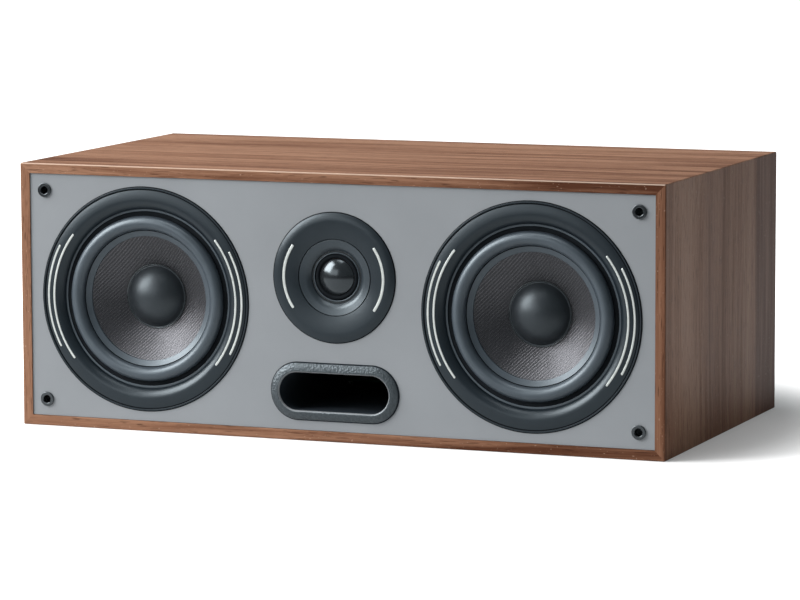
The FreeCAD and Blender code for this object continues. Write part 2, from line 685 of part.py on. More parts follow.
def spider():
    """Corrugated fabric disc from the coil former to the basket's ledge."""
    flat = SPIDER_THICK - SPIDER_DEPTH
    ledge_in = SPIDER_R - SPIDER_LEDGE_W
    collar_out = CONE_NECK_R + SPIDER_THICK
    step = (ledge_in - collar_out) / SPIDER_WAVES

    def waves(offset):
        arcs = []
        for i in range(SPIDER_WAVES):
            start = collar_out + i * step
            crest = SPIDER_WAVE if i % 2 else -SPIDER_WAVE
            arcs.append(((start + step / 2, flat + offset + crest), (start + step, flat + offset)))
        return arcs

    back_waves = [(middle, (end[0] - step, end[1])) for middle, end in reversed(waves(-SPIDER_THICK))]
    return turned(
        [(CONE_NECK_R, flat + SPIDER_COLLAR), (collar_out, flat + SPIDER_COLLAR), (collar_out, flat)]
        + waves(0.0) + [(SPIDER_R, flat), (SPIDER_R, flat - SPIDER_THICK), (ledge_in, flat - SPIDER_THICK)]
        + back_waves + [(CONE_NECK_R, flat - SPIDER_THICK)])


def voice_coil():
    """Coil former with its winding centred in the top plate."""
    middle = -BASKET_DEPTH - TOP_PLATE_THICK / 2
    low, high = middle - WINDING_LENGTH / 2, middle + WINDING_LENGTH / 2
    inner = COIL_R - FORMER_THICK
    top = cone_face(CONE_NECK_R)
    return turned([
        (inner, low - FORMER_TAIL), (COIL_R, low - FORMER_TAIL), (COIL_R, low),
        (COIL_R + WINDING_THICK, low), (COIL_R + WINDING_THICK, high), (COIL_R, high), (COIL_R, top),
        (inner, top)])


def woofer_top_plate():
    """Steel ring in front of the magnet."""
    return washer(TOP_PLATE_R, PLATE_BORE_R, -BASKET_DEPTH, -BASKET_DEPTH - TOP_PLATE_THICK)


def woofer_magnet():
    """Ferrite ring."""
    front = -BASKET_DEPTH - TOP_PLATE_THICK
    return washer(MAGNET_R, MAGNET_BORE_R, front, front - MAGNET_THICK)


def woofer_yoke():
    """Back plate and pole in one turned piece, with a vent through the pole."""
    plate = -BASKET_DEPTH - TOP_PLATE_THICK - MAGNET_THICK
    return turned([
        (POLE_VENT_R, plate - YOKE_THICK), (YOKE_R, plate - YOKE_THICK), (YOKE_R, plate), (POLE_R, plate),
        (POLE_R, -BASKET_DEPTH), (POLE_VENT_R, -BASKET_DEPTH)])


def woofer_parts():
    """Every piece of one woofer on its own axis."""
    return {
        "trim_ring": trim_ring(),
        "ring_inlays": ring_inlays(),
        "gasket": woofer_gasket(),
        "basket": basket(),
        "surround": surround(),
        "cone": cone(),
        "dust_cap": dust_cap(),
        "spider": spider(),
        "voice_coil": voice_coil(),
        "top_plate": woofer_top_plate(),
        "magnet": woofer_magnet(),
        "yoke": woofer_yoke(),
    }


def driver_screws():
    """All the countersunk screws that hold the three drivers to the baffle."""
    screw = turned([
        (0, -SCREW_LENGTH), (SCREW_R, -SCREW_LENGTH), (SCREW_R, -SCREW_HEAD_H - SCREW_FIT),
        (SCREW_HEAD_R, -SCREW_FIT), (0, -SCREW_FIT)])
    screws = []
    drivers = [(x, MIDDLE_Z, WOOFER_SCREW_R, SPOKES, FLANGE_SET) for x in WOOFERS.values()]
    drivers.append((0, TWEETER_Z, TWEETER_SCREW_R, TWEETER_SCREWS, 0.0))
    for x, z, radius, count, behind in drivers:
        set_out = screw.copy()
        set_out.translate(ACROSS * radius + INWARDS * behind)
        screws += [on_axis(s, x, z) for s in ring_of(set_out, count, 180.0 / count)]
    return Part.makeCompound(screws)


# Tweeter

def disc_top(r):
    """Height of the trim disc at a radius, on the hollow slope between its seam and its crest."""
    crest_r, crest_h = DISC_R - DISC_CREST_IN, DRIVER_SET + DISC_CREST_H
    share = (r - SEAM_R) / (crest_r - SEAM_R)
    return SEAM_H + share * (crest_h - SEAM_H) - swell(share, DISC_DISH)


def disc_inlay_bars(clearance):
    """The bright bar of each side, or its groove with a clearance."""
    radius = DISC_R - DISC_INLAY_IN
    top = disc_top(radius)
    front = top + INLAY_PROUD + (DISC_CREST_H if clearance else 0)
    width = DISC_INLAY_WIDTH + 2 * clearance
    return both_sides(bar_round_axis(radius, width, top - INLAY_DEPTH, front, DISC_INLAY_HALF_DEG))


def tweeter_trim_disc():
    """The shallow dished disc that hides the tweeter's flange and screws."""
    crest_r, edge_r = DISC_R - DISC_CREST_IN, DISC_R - DISC_EDGE_W
    inner = SEAM_R + SEAM_GAP
    edge, crest = (edge_r, DRIVER_SET + DISC_EDGE_H), (crest_r, DRIVER_SET + DISC_CREST_H)
    seam = (inner, SEAM_H)
    disc = turned([
        (inner, 0), (DISC_FLANGE_R, 0), (DISC_FLANGE_R, DRIVER_SET), (DISC_R, DRIVER_SET),
        (DISC_R, DRIVER_SET + DISC_RIM_H), edge,
        (arc_middle(edge, crest, -RING_CROWN), crest), (arc_middle(crest, seam, DISC_DISH), seam)])
    return disc.cut(Part.makeCompound(disc_inlay_bars(GLUE_GAP)))


def tweeter_inlays():
    """Two bright bars let into the trim disc."""
    return Part.makeCompound(disc_inlay_bars(0.0))


def tweeter_flange():
    """Mounting flange with the waveguide that shows inside the seam."""
    throat, seam = (THROAT_R, -THROAT_DEPTH), (SEAM_R, SEAM_H)
    flange = turned([
        throat, (arc_middle(throat, seam, WAVEGUIDE_FLARE), seam), (SEAM_R, 0), (DISC_FLANGE_R, 0),
        (DISC_FLANGE_R, -TWEETER_FLANGE), (THROAT_R, -TWEETER_FLANGE)])
    return flange.cut(Part.makeCompound(tweeter_screw_holes()))


def tweeter_dome():
    """Fabric dome."""
    base = DOME_SEAT - TWEETER_FLANGE
    apex = base + DOME_RISE
    inner_r = DOME_R - DOME_THICK
    return turned([
        (0, apex), (dome_middle(DOME_R, base, apex), (DOME_R, base)), (inner_r, base),
        (dome_middle(inner_r, base, apex - DOME_THICK), (0, apex - DOME_THICK))])


def tweeter_surround():
    """The dome's small half roll, with an outer lip on the top plate."""
    thick = DOME_SURROUND_THICK
    floor = -TWEETER_FLANGE
    lip_top = floor + thick
    inner = DOME_R + GLUE_GAP
    outer = inner + DOME_ROLL
    middle, roll = (inner + outer) / 2, DOME_ROLL / 2
    return turned([
        (outer + DOME_LIP, floor), (outer + DOME_LIP, lip_top), (outer, lip_top),
        ((middle, lip_top + roll), (inner, lip_top)), (inner, floor), (inner + thick, floor),
        (inner + thick, lip_top), ((middle, lip_top + roll - thick), (outer - thick, lip_top)),
        (outer - thick, floor)])


def tweeter_clamp_ring():
    """Ring that clamps the surround's lip, with a fine bead round its inner edge."""
    floor = DOME_SURROUND_THICK - TWEETER_FLANGE
    inner = DOME_R + GLUE_GAP + DOME_ROLL + SEAM_GAP
    outer = THROAT_R - PANEL_FIT
    top = floor + CLAMP_THICK
    lip_r = DOME_R + GLUE_GAP + DOME_ROLL + DOME_LIP + PANEL_FIT
    return turned([
        (inner, floor), (inner, top), ((inner + BEAD_WIDTH / 2, top + BEAD_RISE), (inner + BEAD_WIDTH, top)),
        (outer, top), (outer, -TWEETER_FLANGE), (lip_r, -TWEETER_FLANGE), (lip_r, floor)])


def tweeter_voice_coil():
    """Short coil under the dome's rim."""
    top = DOME_SEAT - TWEETER_FLANGE - GLUE_GAP
    return washer(DOME_R, DOME_R - TWEETER_COIL_THICK, top, top - TWEETER_COIL_LENGTH)


def tweeter_motor():
    """Top plate, magnet, yoke and the chamber behind them."""
    plate_back = -TWEETER_FLANGE - TWEETER_PLATE_THICK
    magnet_back = plate_back - TWEETER_MAGNET_THICK
    yoke_back = magnet_back - TWEETER_YOKE_THICK
    chamber_back = yoke_back - CHAMBER_LENGTH
    pole = DOME_R - TWEETER_COIL_THICK - TWEETER_COIL_CLEARANCE
    bore = DOME_R + TWEETER_COIL_CLEARANCE
    inner = CHAMBER_R - CHAMBER_WALL
    return {
        "tweeter_top_plate": washer(TWEETER_PLATE_R, bore, -TWEETER_FLANGE, plate_back),
        "tweeter_magnet": washer(TWEETER_PLATE_R, TWEETER_MAGNET_BORE_R, plate_back, magnet_back),
        "tweeter_yoke": turned([
            (POLE_VENT_R, yoke_back), (TWEETER_YOKE_R, yoke_back), (TWEETER_YOKE_R, magnet_back),
            (pole, magnet_back), (pole, -TWEETER_FLANGE), (POLE_VENT_R, -TWEETER_FLANGE)]),
        "tweeter_rear_chamber": turned([
            (0, chamber_back), (CHAMBER_R, chamber_back), (CHAMBER_R, yoke_back), (inner, yoke_back),
            (inner, chamber_back + CHAMBER_WALL), (0, chamber_back + CHAMBER_WALL)]),
    }


def tweeter_parts():
    """Every piece of the tweeter on its own axis."""
    return {
        "tweeter_trim_disc": tweeter_trim_disc(),
        "tweeter_inlays": tweeter_inlays(),
        "tweeter_flange": tweeter_flange(),
        "tweeter_dome": tweeter_dome(),
        "tweeter_surround": tweeter_surround(),
        "tweeter_clamp_ring": tweeter_clamp_ring(),
        "tweeter_voice_coil": tweeter_voice_coil(),
        **tweeter_motor(),
    }


# Terminals

def post_turned(corners, x):
    """A piece turned about a post's axis. Corners are (r, distance out from the cup's floor)."""
    shape = turned(corners)
    shape.rotate(ORIGIN, ACROSS, 180.0)
    shape.translate(FreeCAD.Vector(x, CUP_FLOOR_Y, CUP_Z))
    return shape


def terminal_cup():
    """Moulded cup sunk in the back panel, with a flange, screw holes and two post holes."""
    cup = rounded_plate(
        CUP_W + 2 * CUP_FLANGE, CUP_H + 2 * CUP_FLANGE, CUP_CORNER + CUP_FLANGE,
        BACK_Y, BACK_Y + CUP_FLANGE_THICK, CUP_Z)
    cup = cup.fuse(rounded_plate(CUP_W, CUP_H, CUP_CORNER, CUP_FLOOR_Y - CUP_WALL, BACK_Y, CUP_Z))
    hollow = rounded_plate(
        CUP_W - 2 * CUP_WALL, CUP_H - 2 * CUP_WALL, CUP_CORNER - CUP_WALL,
        CUP_FLOOR_Y, BACK_Y + 2 * CUP_FLANGE_THICK, CUP_Z)
    cup = cup.cut(hollow).removeSplitter()
    for x, z in cup_screw_places():
        start = FreeCAD.Vector(x, BACK_Y - CUP_FLANGE_THICK, z)
        cup = cup.cut(rod(CUP_SCREW_R + SCREW_FIT, 3 * CUP_FLANGE_THICK, start, INWARDS))
    for x in POST_XS:
        start = FreeCAD.Vector(x, CUP_FLOOR_Y - 2 * CUP_WALL, CUP_Z)
        cup = cup.cut(rod(POST_TAIL_R + POST_FIT, 4 * CUP_WALL, start, INWARDS))
    return cup


def terminal_screws():
    """Four round-headed screws through the cup's flange."""
    top = BACK_Y + CUP_FLANGE_THICK
    screw = turned([
        (0, 0), (CUP_SCREW_R, 0), (CUP_SCREW_R, -CUP_SCREW_LENGTH), (CUP_SCREW_HEAD_R, -CUP_SCREW_LENGTH),
        (CUP_SCREW_HEAD_R, -CUP_SCREW_LENGTH - CUP_SCREW_HEAD_H / 2),
        (CUP_SCREW_R, -CUP_SCREW_LENGTH - CUP_SCREW_HEAD_H), (0, -CUP_SCREW_LENGTH - CUP_SCREW_HEAD_H)])
    screws = []
    for x, z in cup_screw_places():
        placed = screw.copy()
        placed.translate(FreeCAD.Vector(x, top - CUP_SCREW_LENGTH, z))
        screws.append(placed)
    return Part.makeCompound(screws)


def terminal_posts():
    """Two brass posts with a flange on the cup's floor and a bore for a plug."""
    tail = -CUP_WALL - POST_TAIL
    corners = [
        (0, tail), (POST_TAIL_R, tail), (POST_TAIL_R, 0), (POST_FLANGE_R, 0),
        (POST_FLANGE_R, POST_FLANGE_THICK), (POST_R, POST_FLANGE_THICK), (POST_R, POST_LENGTH),
        (POST_BORE_R, POST_LENGTH), (POST_BORE_R, POST_LENGTH - POST_BORE_DEPTH),
        (0, POST_LENGTH - POST_BORE_DEPTH)]
    return Part.makeCompound([post_turned(corners, x) for x in POST_XS])


def terminal_washer(x):
    """Loose clamping washer under a screw cap."""
    base = POST_FLANGE_THICK
    bore = POST_R + POST_FIT
    return post_turned(
        [(bore, base), (WASHER_R, base), (WASHER_R, base + WASHER_THICK), (bore, base + WASHER_THICK)], x)


def terminal_cap(x):
    """Fluted screw cap with a plain collar at its foot."""
    base = POST_FLANGE_THICK + WASHER_THICK
    grip, top = base + CAP_COLLAR_LENGTH, base + CAP_KNOB_LENGTH
    bore = POST_R + POST_FIT
    turn = CAP_KNOB_ROUND * (1 - math.sqrt(0.5))
    cap = post_turned([
        (bore, base), (CAP_KNOB_R, base), (CAP_KNOB_R, top - CAP_KNOB_ROUND),
        ((CAP_KNOB_R - turn, top - turn), (CAP_KNOB_R - CAP_KNOB_ROUND, top)), (bore, top)], x)
    axis = FreeCAD.Vector(x, CUP_FLOOR_Y, CUP_Z)
    flutes = []
    for i in range(CAP_FLUTES):
        start = axis + FreeCAD.Vector(CAP_KNOB_R, grip, 0)
        flute = rod(CAP_FLUTE_R, CAP_KNOB_LENGTH, start, INWARDS)
        flute.rotate(axis, INWARDS, 360.0 * i / CAP_FLUTES)
        flutes.append(flute)
    return cap.cut(Part.makeCompound(flutes))


def terminal_nuts():
    """Hexagonal nuts that draw the posts against the cup's floor."""
    nuts = []
    for x in POST_XS:
        middle = FreeCAD.Vector(x, CUP_FLOOR_Y - CUP_WALL, CUP_Z)
        corners = []
        for i in range(7):
            angle = math.radians(60 * i)
            corners.append(middle + FreeCAD.Vector(NUT_R * math.cos(angle), 0, NUT_R * math.sin(angle)))
        nut = Part.Face(Part.makePolygon(corners)).extrude(OUTWARDS * NUT_THICK)
        bore = rod(POST_TAIL_R + POST_FIT, 3 * NUT_THICK, middle + INWARDS * NUT_THICK, OUTWARDS)
        nuts.append(nut.cut(bore))
    return Part.makeCompound(nuts)


# Crossover

def standoff_places():
    """Corners of the board where it is held off the floor."""
    x = BOARD_W / 2 - STANDOFF_INSET
    ys = BOARD_FRONT_Y + STANDOFF_INSET, BOARD_BACK_Y - STANDOFF_INSET
    return [(side * x, y) for side in (-1, 1) for y in ys]


def crossover_board():
    """Bare circuit board."""
    base = FLOOR_Z + STANDOFF_H
    return box(-BOARD_W / 2, BOARD_W / 2, BOARD_FRONT_Y, BOARD_BACK_Y, base, base + BOARD_THICK)


def crossover_standoffs():
    """Four round feet between the floor and the board."""
    feet = [rod(STANDOFF_R, STANDOFF_H, FreeCAD.Vector(x, y, FLOOR_Z), UP) for x, y in standoff_places()]
    return Part.makeCompound(feet)


def crossover_inductors():
    """Two wound bobbins standing on the board."""
    y = BOARD_BACK_Y - BOBBIN_R - STANDOFF_INSET / 2
    waist = BOBBIN_R - BOBBIN_DISH
    corners = [
        (BOBBIN_CORE_R, 0), (BOBBIN_R, 0), (BOBBIN_R, BOBBIN_CHEEK), (waist, BOBBIN_CHEEK),
        (waist, BOBBIN_H - BOBBIN_CHEEK), (BOBBIN_R, BOBBIN_H - BOBBIN_CHEEK), (BOBBIN_R, BOBBIN_H),
        (BOBBIN_CORE_R, BOBBIN_H)]
    bobbin = turned(corners)
    bobbin.rotate(ORIGIN, ACROSS, -90.0)
    bobbins = []
    for side in (-1, 1):
        placed = bobbin.copy()
        placed.translate(FreeCAD.Vector(side * (BOBBIN_R + STANDOFF_INSET), y, BOARD_TOP_Z))
        bobbins.append(placed)
    return Part.makeCompound(bobbins)


def crossover_capacitors():
    """Three film capacitors lying side by side."""
    pitch = 2 * CAPACITOR_R + STANDOFF_R
    cans = []
    for i in (-1, 0, 1):
        start = FreeCAD.Vector(
            i * pitch - CAPACITOR_R, BOARD_FRONT_Y + STANDOFF_INSET, BOARD_TOP_Z + CAPACITOR_R)
        can = rod(CAPACITOR_R, CAPACITOR_L, start + ACROSS * CAPACITOR_R, INWARDS)
        cans.append(can.makeFillet(CAPACITOR_ROUND, can.Edges[0:1] + can.Edges[2:3]))
    return Part.makeCompound(cans)


def crossover_resistors():
    """Two cement resistors at the ends of the board, on small moulded feet."""
    blocks = []
    y = (BOARD_FRONT_Y + BOARD_BACK_Y) / 2
    for side in (-1, 1):
        x = side * (BOARD_W / 2 - STANDOFF_INSET - RESISTOR_H / 2)
        x0, x1 = x - RESISTOR_H / 2, x + RESISTOR_H / 2
        y0, y1 = y - RESISTOR_W / 2, y + RESISTOR_W / 2
        top = BOARD_TOP_Z + RESISTOR_FOOT + RESISTOR_H
        block = box(x0, x1, y0, y1, BOARD_TOP_Z, top)
        gap = box(
            x0, x1, y0 + 2 * RESISTOR_FOOT, y1 - 2 * RESISTOR_FOOT, BOARD_TOP_Z, BOARD_TOP_Z + RESISTOR_FOOT)
        blocks.append(block.cut(gap))
    return Part.makeCompound(blocks)


# Leads

def lead(points):
    """A round lead along straight runs joined by arcs as large as the runs allow."""
    points = [FreeCAD.Vector(*p) for p in points]
    edges = []
    here = points[0]
    for before, corner, after in zip(points, points[1:], points[2:]):
        back, ahead = before - corner, after - corner
        shorter = min(back.Length, ahead.Length)
        back, ahead = back.normalize(), ahead.normalize()
        reach = LEAD_BEND * shorter
        start, end = corner + back * reach, corner + ahead * reach
        half = back.getAngle(ahead) / 2
        centre_way = (back + ahead).normalize()
        radius = reach * math.tan(half)
        middle = corner + centre_way * (reach / math.cos(half) - radius)
        edges.append(Part.LineSegment(here, start).toShape())
        edges.append(Part.Arc(start, middle, end).toShape())
        here = end
    edges.append(Part.LineSegment(here, points[-1]).toShape())
    path = Part.Wire(edges)
    first = points[1] - points[0]
    disc = Part.Wire(Part.Circle(points[0], first, LEAD_R).toShape())
    return path.makePipeShell([disc], True, False)


def wiring_loom():
    """Twin leads from the crossover to each driver and from the posts to the crossover."""
    tag_y = DRIVER_Y + TAG_DEPTH + TAG_THICK
    board_z = BOARD_TOP_Z
    leads = []
    for side in (-1, 1):
        x = side * (WOOFER_X - tag_reach_r())
        foot_x = side * (BOARD_W / 2 - 2 * LEAD_R)
        foot_y = BOARD_FRONT_Y + 2 * STANDOFF_INSET
        leads.append(lead([
            (x, tag_y, MIDDLE_Z), (x, tag_y + 28, MIDDLE_Z), (x - side * 8, tag_y + 58, MIDDLE_Z - 14),
            (foot_x + side * 4, foot_y - 14, MIDDLE_Z - 38), (foot_x, foot_y, MIDDLE_Z - 62),
            (foot_x, foot_y, board_z)]))
    chamber_back = (TWEETER_FLANGE + TWEETER_PLATE_THICK + TWEETER_MAGNET_THICK + TWEETER_YOKE_THICK
                    + CHAMBER_LENGTH)
    start_y = DRIVER_Y + chamber_back
    foot_y = BOARD_FRONT_Y + 2 * LEAD_R
    leads.append(lead([
        (0, start_y, TWEETER_Z), (0, start_y + 30, TWEETER_Z), (6, start_y + 58, TWEETER_Z - 20),
        (8, foot_y - 8, TWEETER_Z - 54), (8, foot_y, TWEETER_Z - 78), (8, foot_y, board_z)]))
    post_end_y = CUP_FLOOR_Y - CUP_WALL - POST_TAIL
    for x in POST_XS:
        foot_y = BOARD_BACK_Y - 2 * LEAD_R
        leads.append(lead([
            (x, post_end_y, CUP_Z), (x, foot_y + 3, CUP_Z), (x, foot_y, CUP_Z - 17), (x, foot_y, board_z)]))
    return Part.makeCompound(leads)


def acoustic_wadding():
    """Damping felt glued under the top panel and down the back panel, open round the terminal cup."""
    half_w = WIDTH / 2 - PANEL - WADDING_MARGIN
    front_y = DRIVER_Y + SPIDER_DEPTH
    top = box(-half_w, half_w, front_y, REAR_WALL_Y, CEILING_Z - WADDING_THICK, CEILING_Z)
    rear = box(
        -half_w, half_w, REAR_WALL_Y - WADDING_THICK, REAR_WALL_Y, FLOOR_Z + WADDING_MARGIN, CEILING_Z)
    opening = box(
        -CUP_W / 2 - WADDING_MARGIN, CUP_W / 2 + WADDING_MARGIN, REAR_WALL_Y - 2 * WADDING_THICK, BACK_Y,
        CUP_Z - CUP_H / 2 - WADDING_MARGIN, CUP_Z + CUP_H / 2 + WADDING_MARGIN)
    return top.fuse(rear.cut(opening)).removeSplitter()


# Assembly

def all_nodes():
    """Every node of the speaker in its place."""
    nodes = sleeve_panels()
    nodes["front_baffle"] = front_baffle()
    nodes["back_panel"] = back_panel()
    nodes["grille_sockets"] = grille_sockets()
    nodes["port_tube"] = port_tube()
    for name, piece in woofer_parts().items():
        for side, x in WOOFERS.items():
            turn = 0.0 if side == "left" else 180.0
            nodes[f"{side}_woofer_{name}"] = on_axis(piece, x, MIDDLE_Z, turn)
    for name, piece in tweeter_parts().items():
        nodes[name] = on_axis(piece, 0, TWEETER_Z)
    nodes["driver_screws"] = driver_screws()
    nodes["terminal_cup"] = terminal_cup()
    nodes["terminal_screws"] = terminal_screws()
    nodes["terminal_posts"] = terminal_posts()
    nodes["terminal_nuts"] = terminal_nuts()
    for colour, x in zip(("red", "black"), reversed(POST_XS)):
        nodes[f"{colour}_terminal_washer"] = terminal_washer(x)
        nodes[f"{colour}_terminal_cap"] = terminal_cap(x)
    nodes["crossover_board"] = crossover_board()
    nodes["crossover_standoffs"] = crossover_standoffs()
    nodes["crossover_inductors"] = crossover_inductors()
    nodes["crossover_capacitors"] = crossover_capacitors()
    nodes["crossover_resistors"] = crossover_resistors()
    nodes["wiring_loom"] = wiring_loom()
    nodes["acoustic_wadding"] = acoustic_wadding()
    return nodes


def main():
    """Write one STEP file for each node."""
    os.makedirs("parts", exist_ok=True)
    for name, shape in all_nodes().items():
        shape.exportStep(f"parts/{name}.step")
        print(f"{name}: {len(shape.Solids)} solids, {shape.Volume / 1000:.2f} cm3, valid {shape.isValid()}")


main()
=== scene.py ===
"""Looks of a walnut centre speaker: woven woofers, a dome tweeter, an oblong port and rear terminals.

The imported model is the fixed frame. Boards, motors and the crossover keep their solids and get procedural
finishes. The turned and moulded pieces that show are remade as fine meshes in the same places.
Sections are in millimetres, as on a maker's drawing: r is the distance from an axis and f the distance in
front of the plane that carries the piece. Meshes are in metres.
"""

import json
import logging
import math
from dataclasses import dataclass
from enum import Enum
from typing import Any, Callable, Mapping, Sequence

import bmesh
import bpy
import numpy as np
from mathutils import Matrix, Vector

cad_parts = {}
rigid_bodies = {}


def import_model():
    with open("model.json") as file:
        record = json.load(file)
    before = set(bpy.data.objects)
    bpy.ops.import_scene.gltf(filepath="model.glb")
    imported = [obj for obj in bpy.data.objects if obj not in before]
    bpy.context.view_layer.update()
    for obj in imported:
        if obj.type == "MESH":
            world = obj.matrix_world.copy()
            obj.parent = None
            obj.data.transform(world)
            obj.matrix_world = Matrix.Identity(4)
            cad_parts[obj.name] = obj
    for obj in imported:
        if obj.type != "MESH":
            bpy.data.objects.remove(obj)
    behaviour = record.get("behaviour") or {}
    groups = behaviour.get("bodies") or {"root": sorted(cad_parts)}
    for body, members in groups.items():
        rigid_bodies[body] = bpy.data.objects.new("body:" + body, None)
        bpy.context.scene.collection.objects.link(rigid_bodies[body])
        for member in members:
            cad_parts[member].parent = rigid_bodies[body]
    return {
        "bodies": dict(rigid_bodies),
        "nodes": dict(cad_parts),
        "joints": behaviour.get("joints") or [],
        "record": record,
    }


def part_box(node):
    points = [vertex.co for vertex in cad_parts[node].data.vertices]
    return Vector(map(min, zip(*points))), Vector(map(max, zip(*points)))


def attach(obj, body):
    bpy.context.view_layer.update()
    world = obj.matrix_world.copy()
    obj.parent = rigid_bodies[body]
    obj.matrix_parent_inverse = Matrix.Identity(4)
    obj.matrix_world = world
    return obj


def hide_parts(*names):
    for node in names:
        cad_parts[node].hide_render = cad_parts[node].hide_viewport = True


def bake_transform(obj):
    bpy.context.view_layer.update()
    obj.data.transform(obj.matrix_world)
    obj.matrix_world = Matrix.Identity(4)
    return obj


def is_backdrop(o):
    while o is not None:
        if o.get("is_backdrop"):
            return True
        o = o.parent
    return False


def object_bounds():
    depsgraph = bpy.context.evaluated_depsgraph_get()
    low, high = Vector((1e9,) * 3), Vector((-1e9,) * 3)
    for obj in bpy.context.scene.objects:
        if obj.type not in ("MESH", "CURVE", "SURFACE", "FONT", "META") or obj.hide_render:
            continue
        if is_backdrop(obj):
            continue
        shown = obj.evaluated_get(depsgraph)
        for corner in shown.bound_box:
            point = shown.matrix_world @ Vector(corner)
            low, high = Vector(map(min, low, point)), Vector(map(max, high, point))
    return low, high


LOG = logging.getLogger("speaker")
MM = 0.001
DRIVER_SET = 2.0           # millimetres from the baffle's face back to the drivers' zero plane
LINE_W = 0.7               # width of the black line painted round a ring or disc as shade, in millimetres
LINE_H = 0.15              # height of that line over the baffle, in millimetres
NEAR = 0.05                # slack of a test on a section, in millimetres

# Fineness of the turned meshes
ARC_STEP = 0.4             # millimetres between points of a bulged run
LEAST_ARC_STEPS = 4
FILLET_STEPS = 5
SUPPORT = 0.12             # millimetres from a fillet to the row that keeps the flat beside it flat
SAME_POINT = 1e-5          # millimetres under which two points of a section are one
MERGE_DISTANCE = 1e-7      # metres under which two vertices are one
SHARP_DEG = 35.0
FINE_STEPS = 192           # columns round a driver's ring or cone
DOME_STEPS = 128           # columns round a dome, a spider or the port
SMALL_STEPS = 64           # columns round a small piece

# Types of sockets
FLOAT = "NodeSocketFloat"
WHOLE = "NodeSocketInt"
VECTOR = "NodeSocketVector"
GEOMETRY = "NodeSocketGeometry"
MATERIAL = "NodeSocketMaterial"

# Sockets of a Mix node that is set to colours
MIX_INPUTS = (0, 6, 7)     # factor, first colour and second colour
MIX_RESULT = 2

Colour = tuple[float, float, float]
Value = Any                # a number, a vector, a colour, a material or a socket
Piece = bpy.types.Object
Socket = bpy.types.NodeSocket
Tree = bpy.types.NodeTree


class Side(Enum):
    """The two woofers."""

    LEFT = "left"
    RIGHT = "right"


class Facing(Enum):
    """Which way a turned piece's f counts along Y."""

    FRONT = -1
    BACK = 1


class GrainWay(Enum):
    """Direction of a board's grain."""

    LEVEL = "level"
    UPRIGHT = "upright"


class Body(Enum):
    """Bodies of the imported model."""

    CABINET = "cabinet"
    LEFT_CONE = "left_woofer_diaphragm"
    RIGHT_CONE = "right_woofer_diaphragm"
    DOME = "tweeter_diaphragm"
    RED_WASHER = "red_washer"
    RED_CAP = "red_cap"
    BLACK_WASHER = "black_washer"
    BLACK_CAP = "black_cap"


@dataclass(frozen=True)
class Corner:
    """A corner of a section, in millimetres.

    Attributes:
        r: distance from the axis.
        f: distance in front of the face that carries the piece.
        fillet: how far the rounding reaches along both runs that meet here.
        bulge: how far the run that ends here stands off its chord, to the left of its direction.
    """

    r: float
    f: float
    fillet: float = 0.0
    bulge: float = 0.0


# Sections and turned meshes

def bulged_run(start: Corner, end: Corner) -> np.ndarray:
    """Points from one corner to the next.

    Args:
        start: corner where the run begins.
        end: corner where it ends, with the run's bulge.

    Returns:
        Rows of (r, f), two for a straight run and more for an arc.
    """
    a, b = np.array([start.r, start.f]), np.array([end.r, end.f])
    if not end.bulge:
        return np.array([a, b])
    chord = float(np.linalg.norm(b - a))
    rise = abs(end.bulge)
    radius = (chord ** 2 / 4 + rise ** 2) / (2 * rise)
    half = math.asin(min(1.0, chord / 2 / radius))
    along = (b - a) / chord
    left = np.array([-along[1], along[0]]) * math.copysign(1.0, end.bulge)
    count = max(LEAST_ARC_STEPS, round(2 * half * radius / ARC_STEP))
    turns = np.linspace(-half, half, count + 1)
    across = chord / 2 + radius * np.sin(turns)
    off = radius * np.cos(turns) - (radius - rise)
    return a + across[:, None] * along + off[:, None] * left


def arc_bulge(radius: float, rise: float) -> float:
    """How far a dome's half arc stands off its chord, from the apex to the rim.

    Args:
        radius: radius of the dome's rim.
        rise: height of its apex over the rim.

    Returns:
        The bulge for the run from apex to rim.
    """
    sphere = (radius ** 2 + rise ** 2) / (2 * rise)
    half = math.asin(min(1.0, radius / sphere)) / 2
    return sphere * (1 - math.cos(half))


def trimmed(run: np.ndarray, start: float, end: float) -> np.ndarray:
    """A run shortened at both ends, with a supporting point beside each fillet.

    Args:
        run: rows of (r, f).
        start: length taken off its start.
        end: length taken off its end.

    Returns:
        Rows of (r, f).
    """
    steps = np.linalg.norm(np.diff(run, axis=0), axis=1)
    along = np.concatenate([[0.0], np.cumsum(steps)])
    first, last = start, along[-1] - end
    stations = [first, last]
    stations += [s for s in along if first + SUPPORT / 2 < s < last - SUPPORT / 2]
    if last - first > 4 * SUPPORT:
        stations += [first + SUPPORT, last - SUPPORT]
    stations = np.unique(np.round(stations, 6))
    return np.stack([np.interp(stations, along, run[:, i]) for i in (0, 1)], axis=1)


def section_points(corners: Sequence[Corner], closed: bool) -> np.ndarray:
    """The outline of a section with its corners rounded.

    Args:
        corners: the section's corners in order.
        closed: whether the last corner runs back to the first.

    Returns:
        Rows of (r, f), without the closing point.
    """
    count = len(corners)
    runs = []
    for i in range(count if closed else count - 1):
        a, b = corners[i], corners[(i + 1) % count]
        runs.append(trimmed(bulged_run(a, b), a.fillet, b.fillet))
    points: list[np.ndarray] = []
    for i, run in enumerate(runs):
        points.extend(run)
        corner = corners[(i + 1) % count]
        if corner.fillet and (closed or i + 1 < len(runs)):
            peak = np.array([corner.r, corner.f])
            after = runs[(i + 1) % len(runs)][0]
            for t in np.linspace(0, 1, FILLET_STEPS + 1)[1:-1]:
                points.append((1 - t) ** 2 * run[-1] + 2 * t * (1 - t) * peak + t ** 2 * after)
    kept = [points[0]]
    for point in points[1:]:
        if np.linalg.norm(point - kept[-1]) > SAME_POINT:
            kept.append(point)
    if closed and np.linalg.norm(kept[0] - kept[-1]) < SAME_POINT:
        kept.pop()
    return np.array(kept)


